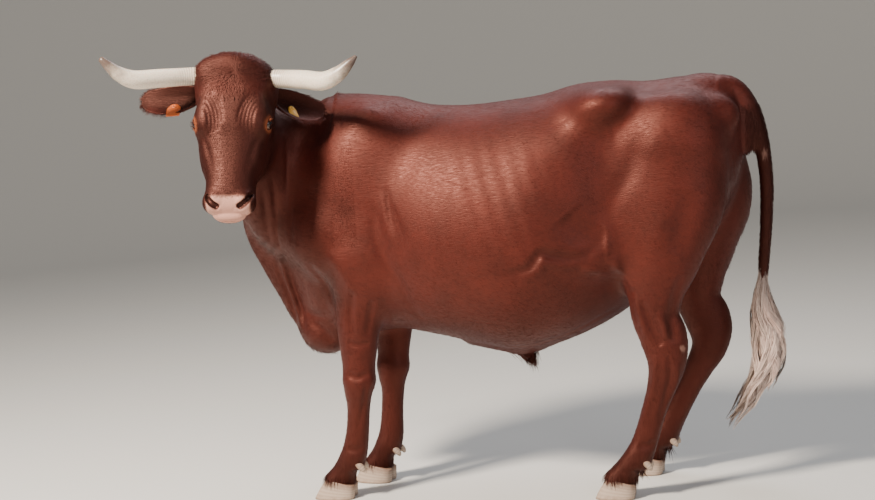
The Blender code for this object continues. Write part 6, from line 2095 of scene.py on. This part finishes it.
rng = np.random.default_rng(SEED + 70)
all_paths = []
for h in range(HANKS):
    turn = GOLDEN_TURN * h
    out = math.sqrt((h + 0.5) / HANKS)
    a, b = out * math.cos(turn), out * math.sin(turn)
    tip = 0.180 + 0.16 * max(a, 0) + 0.05 * abs(b) + 0.05 * rng.random()
    if h in RAGGED_HANKS:
        tip = 0.172 + 0.02 * rng.random()
    strands = int(STRANDS * (1.0))
    for s in range(strands):
        da, db = rng.normal(0, 0.17, 2)
        end = tip + 0.07 * rng.random() ** 2
        t = np.linspace(0, 1, STRAND_STATIONS)
        start = SWITCH_TOP + rng.uniform(-0.10, 0.015) * (out > 0.3)
        z = start + (end - start) * t
        x, wide_x, wide_y = (np.interp(z, SWITCH_SHAPE[:, 0], SWITCH_SHAPE[:, j]) for j in (1, 2, 3))
        tight = 1 - 0.90 * t
        swing = np.minimum(1, 2.2 * t)
        ripple = 0.0016 * np.sin(30 * t + 6.3 * rng.random()) * t
        wave = 0.0150 * np.sin((9.0 + 1.3 * (h % 4)) * t + 1.7 * h) * swing + ripple
        cross = 0.0120 * np.cos((8.0 + 1.1 * (h % 5)) * t + 2.3 * h) * swing
        px = x + np.clip(a + da * tight, -1, 1) * wide_x * 0.86 + wave
        py = SWITCH_Y + np.clip(b + db * tight, -1, 1) * wide_y * 0.86 + cross
        all_paths.append(np.stack([px, py, z], 1))
paths = np.array(all_paths)
count = len(paths)
p = paths[:, 0]
n = np.stack([p[:, 0] - 1.13, p[:, 1] - SWITCH_Y, np.zeros(count)], 1) + 1e-4
n = unit(n)
switch_finish = straw_hair()
switch = coat_piece("switch_hair", p, n, np.full(count, TAIL_PART), paths, n,
                    rng.uniform(0.0009, 0.0018, count), rng.uniform(0.0005, 0.0009, count), rng,
                    switch_finish)
below_top = (SWITCH_TOP - points_of(switch)[:, 2]) / SWITCH_LONG
store_values(switch, {"along": np.clip(below_top, 0, 1)})
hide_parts("tail_switch")

# Floor, light and camera. A plain pale floor, a large soft key from the front left and above, where the sun
# stands in the photograph, a weaker fill and a pale surround; the camera stands low and slightly rolled.
FLOOR_FLAT = 9.0
FLOOR_RISE = 5.0
FLOOR_SIDES = 96
FLOOR_BEND = (0.08, 1.3)
FLOOR_STEPS = 14
FLOOR_PALE = "#D9D6D0"
SURROUND_PALE = "#E9ECF0"
SURROUND_STRENGTH = 0.26
profile = [(FLOOR_FLAT, 0.0)]
for a in np.linspace(*FLOOR_BEND, FLOOR_STEPS):
    profile.append((FLOOR_FLAT + FLOOR_RISE * math.sin(a), FLOOR_RISE * (1 - math.cos(a))))
turns = np.linspace(0, 2 * math.pi, FLOOR_SIDES, endpoint=False)
rings = [(r * math.cos(a), r * math.sin(a), z) for r, z in profile for a in turns]
points = np.array([(0.0, 0.0, 0.0)] + rings)
tris = []
for j in range(FLOOR_SIDES):
    k = (j + 1) % FLOOR_SIDES
    tris.append((0, 1 + j, 1 + k))
    for i in range(len(profile) - 1):
        u, v = 1 + i * FLOOR_SIDES + j, 1 + i * FLOOR_SIDES + k
        tris += [(u, u + FLOOR_SIDES, v + FLOOR_SIDES), (u, v + FLOOR_SIDES, v)]
floor = mesh_object("floor", points, np.array(tris))
mat, tree = new_material("pale_floor")
shader = add(tree, "BsdfPrincipled", None, {"Base Color": linear(FLOOR_PALE), "Roughness": 0.85})
add(tree, "OutputMaterial", None, {"Surface": shader})
floor.data.materials.append(mat)

world = bpy.data.worlds.new("soft_surround")
bpy.context.scene.world = world
world.use_nodes = True
world.node_tree.nodes["Background"].inputs["Color"].default_value = linear(SURROUND_PALE)
world.node_tree.nodes["Background"].inputs["Strength"].default_value = SURROUND_STRENGTH


def soft_light(name, place, aim, size, power, tint):
    lamp = bpy.data.lights.new(name, "AREA")
    lamp.shape = "RECTANGLE"
    lamp.size, lamp.size_y = size
    lamp.energy = power
    lamp.color = linear(tint)[:3]
    ob = bpy.data.objects.new(name, lamp)
    ob.location = place
    ob.rotation_euler = (Vector(aim) - Vector(place)).to_track_quat("-Z", "Y").to_euler()
    bpy.context.scene.collection.objects.link(ob)


soft_light("key", (-2.6, -3.4, 4.4), (0.0, 0.0, 0.8), (1.0, 1.0), 860, "#FFF3E4")
soft_light("fill", (3.8, -4.2, 2.6), (0.1, 0.0, 0.8), (3.0, 2.2), 80, "#EEF4FF")
soft_light("top", (0.4, 1.8, 4.4), (0.1, 0.0, 1.2), (3.0, 2.0), 90, "#F4F7FF")

CAMERA_AT = (1.553 + ORIGIN[0], -5.796 + ORIGIN[1], 1.55)
FOCAL_PIXELS = 1700
PHOTO_WIDE = 875
SENSOR = 36.0
lens = bpy.data.cameras.new("camera")
lens.sensor_width = SENSOR
lens.lens = FOCAL_PIXELS / PHOTO_WIDE * SENSOR
camera = bpy.data.objects.new("camera", lens)
turned = Matrix((tuple(VIEW_R), tuple(VIEW_U), tuple(VIEW_B))).transposed().to_4x4()
camera.matrix_world = Matrix.Translation(CAMERA_AT) @ turned
bpy.context.scene.collection.objects.link(camera)
bpy.context.scene.camera = camera
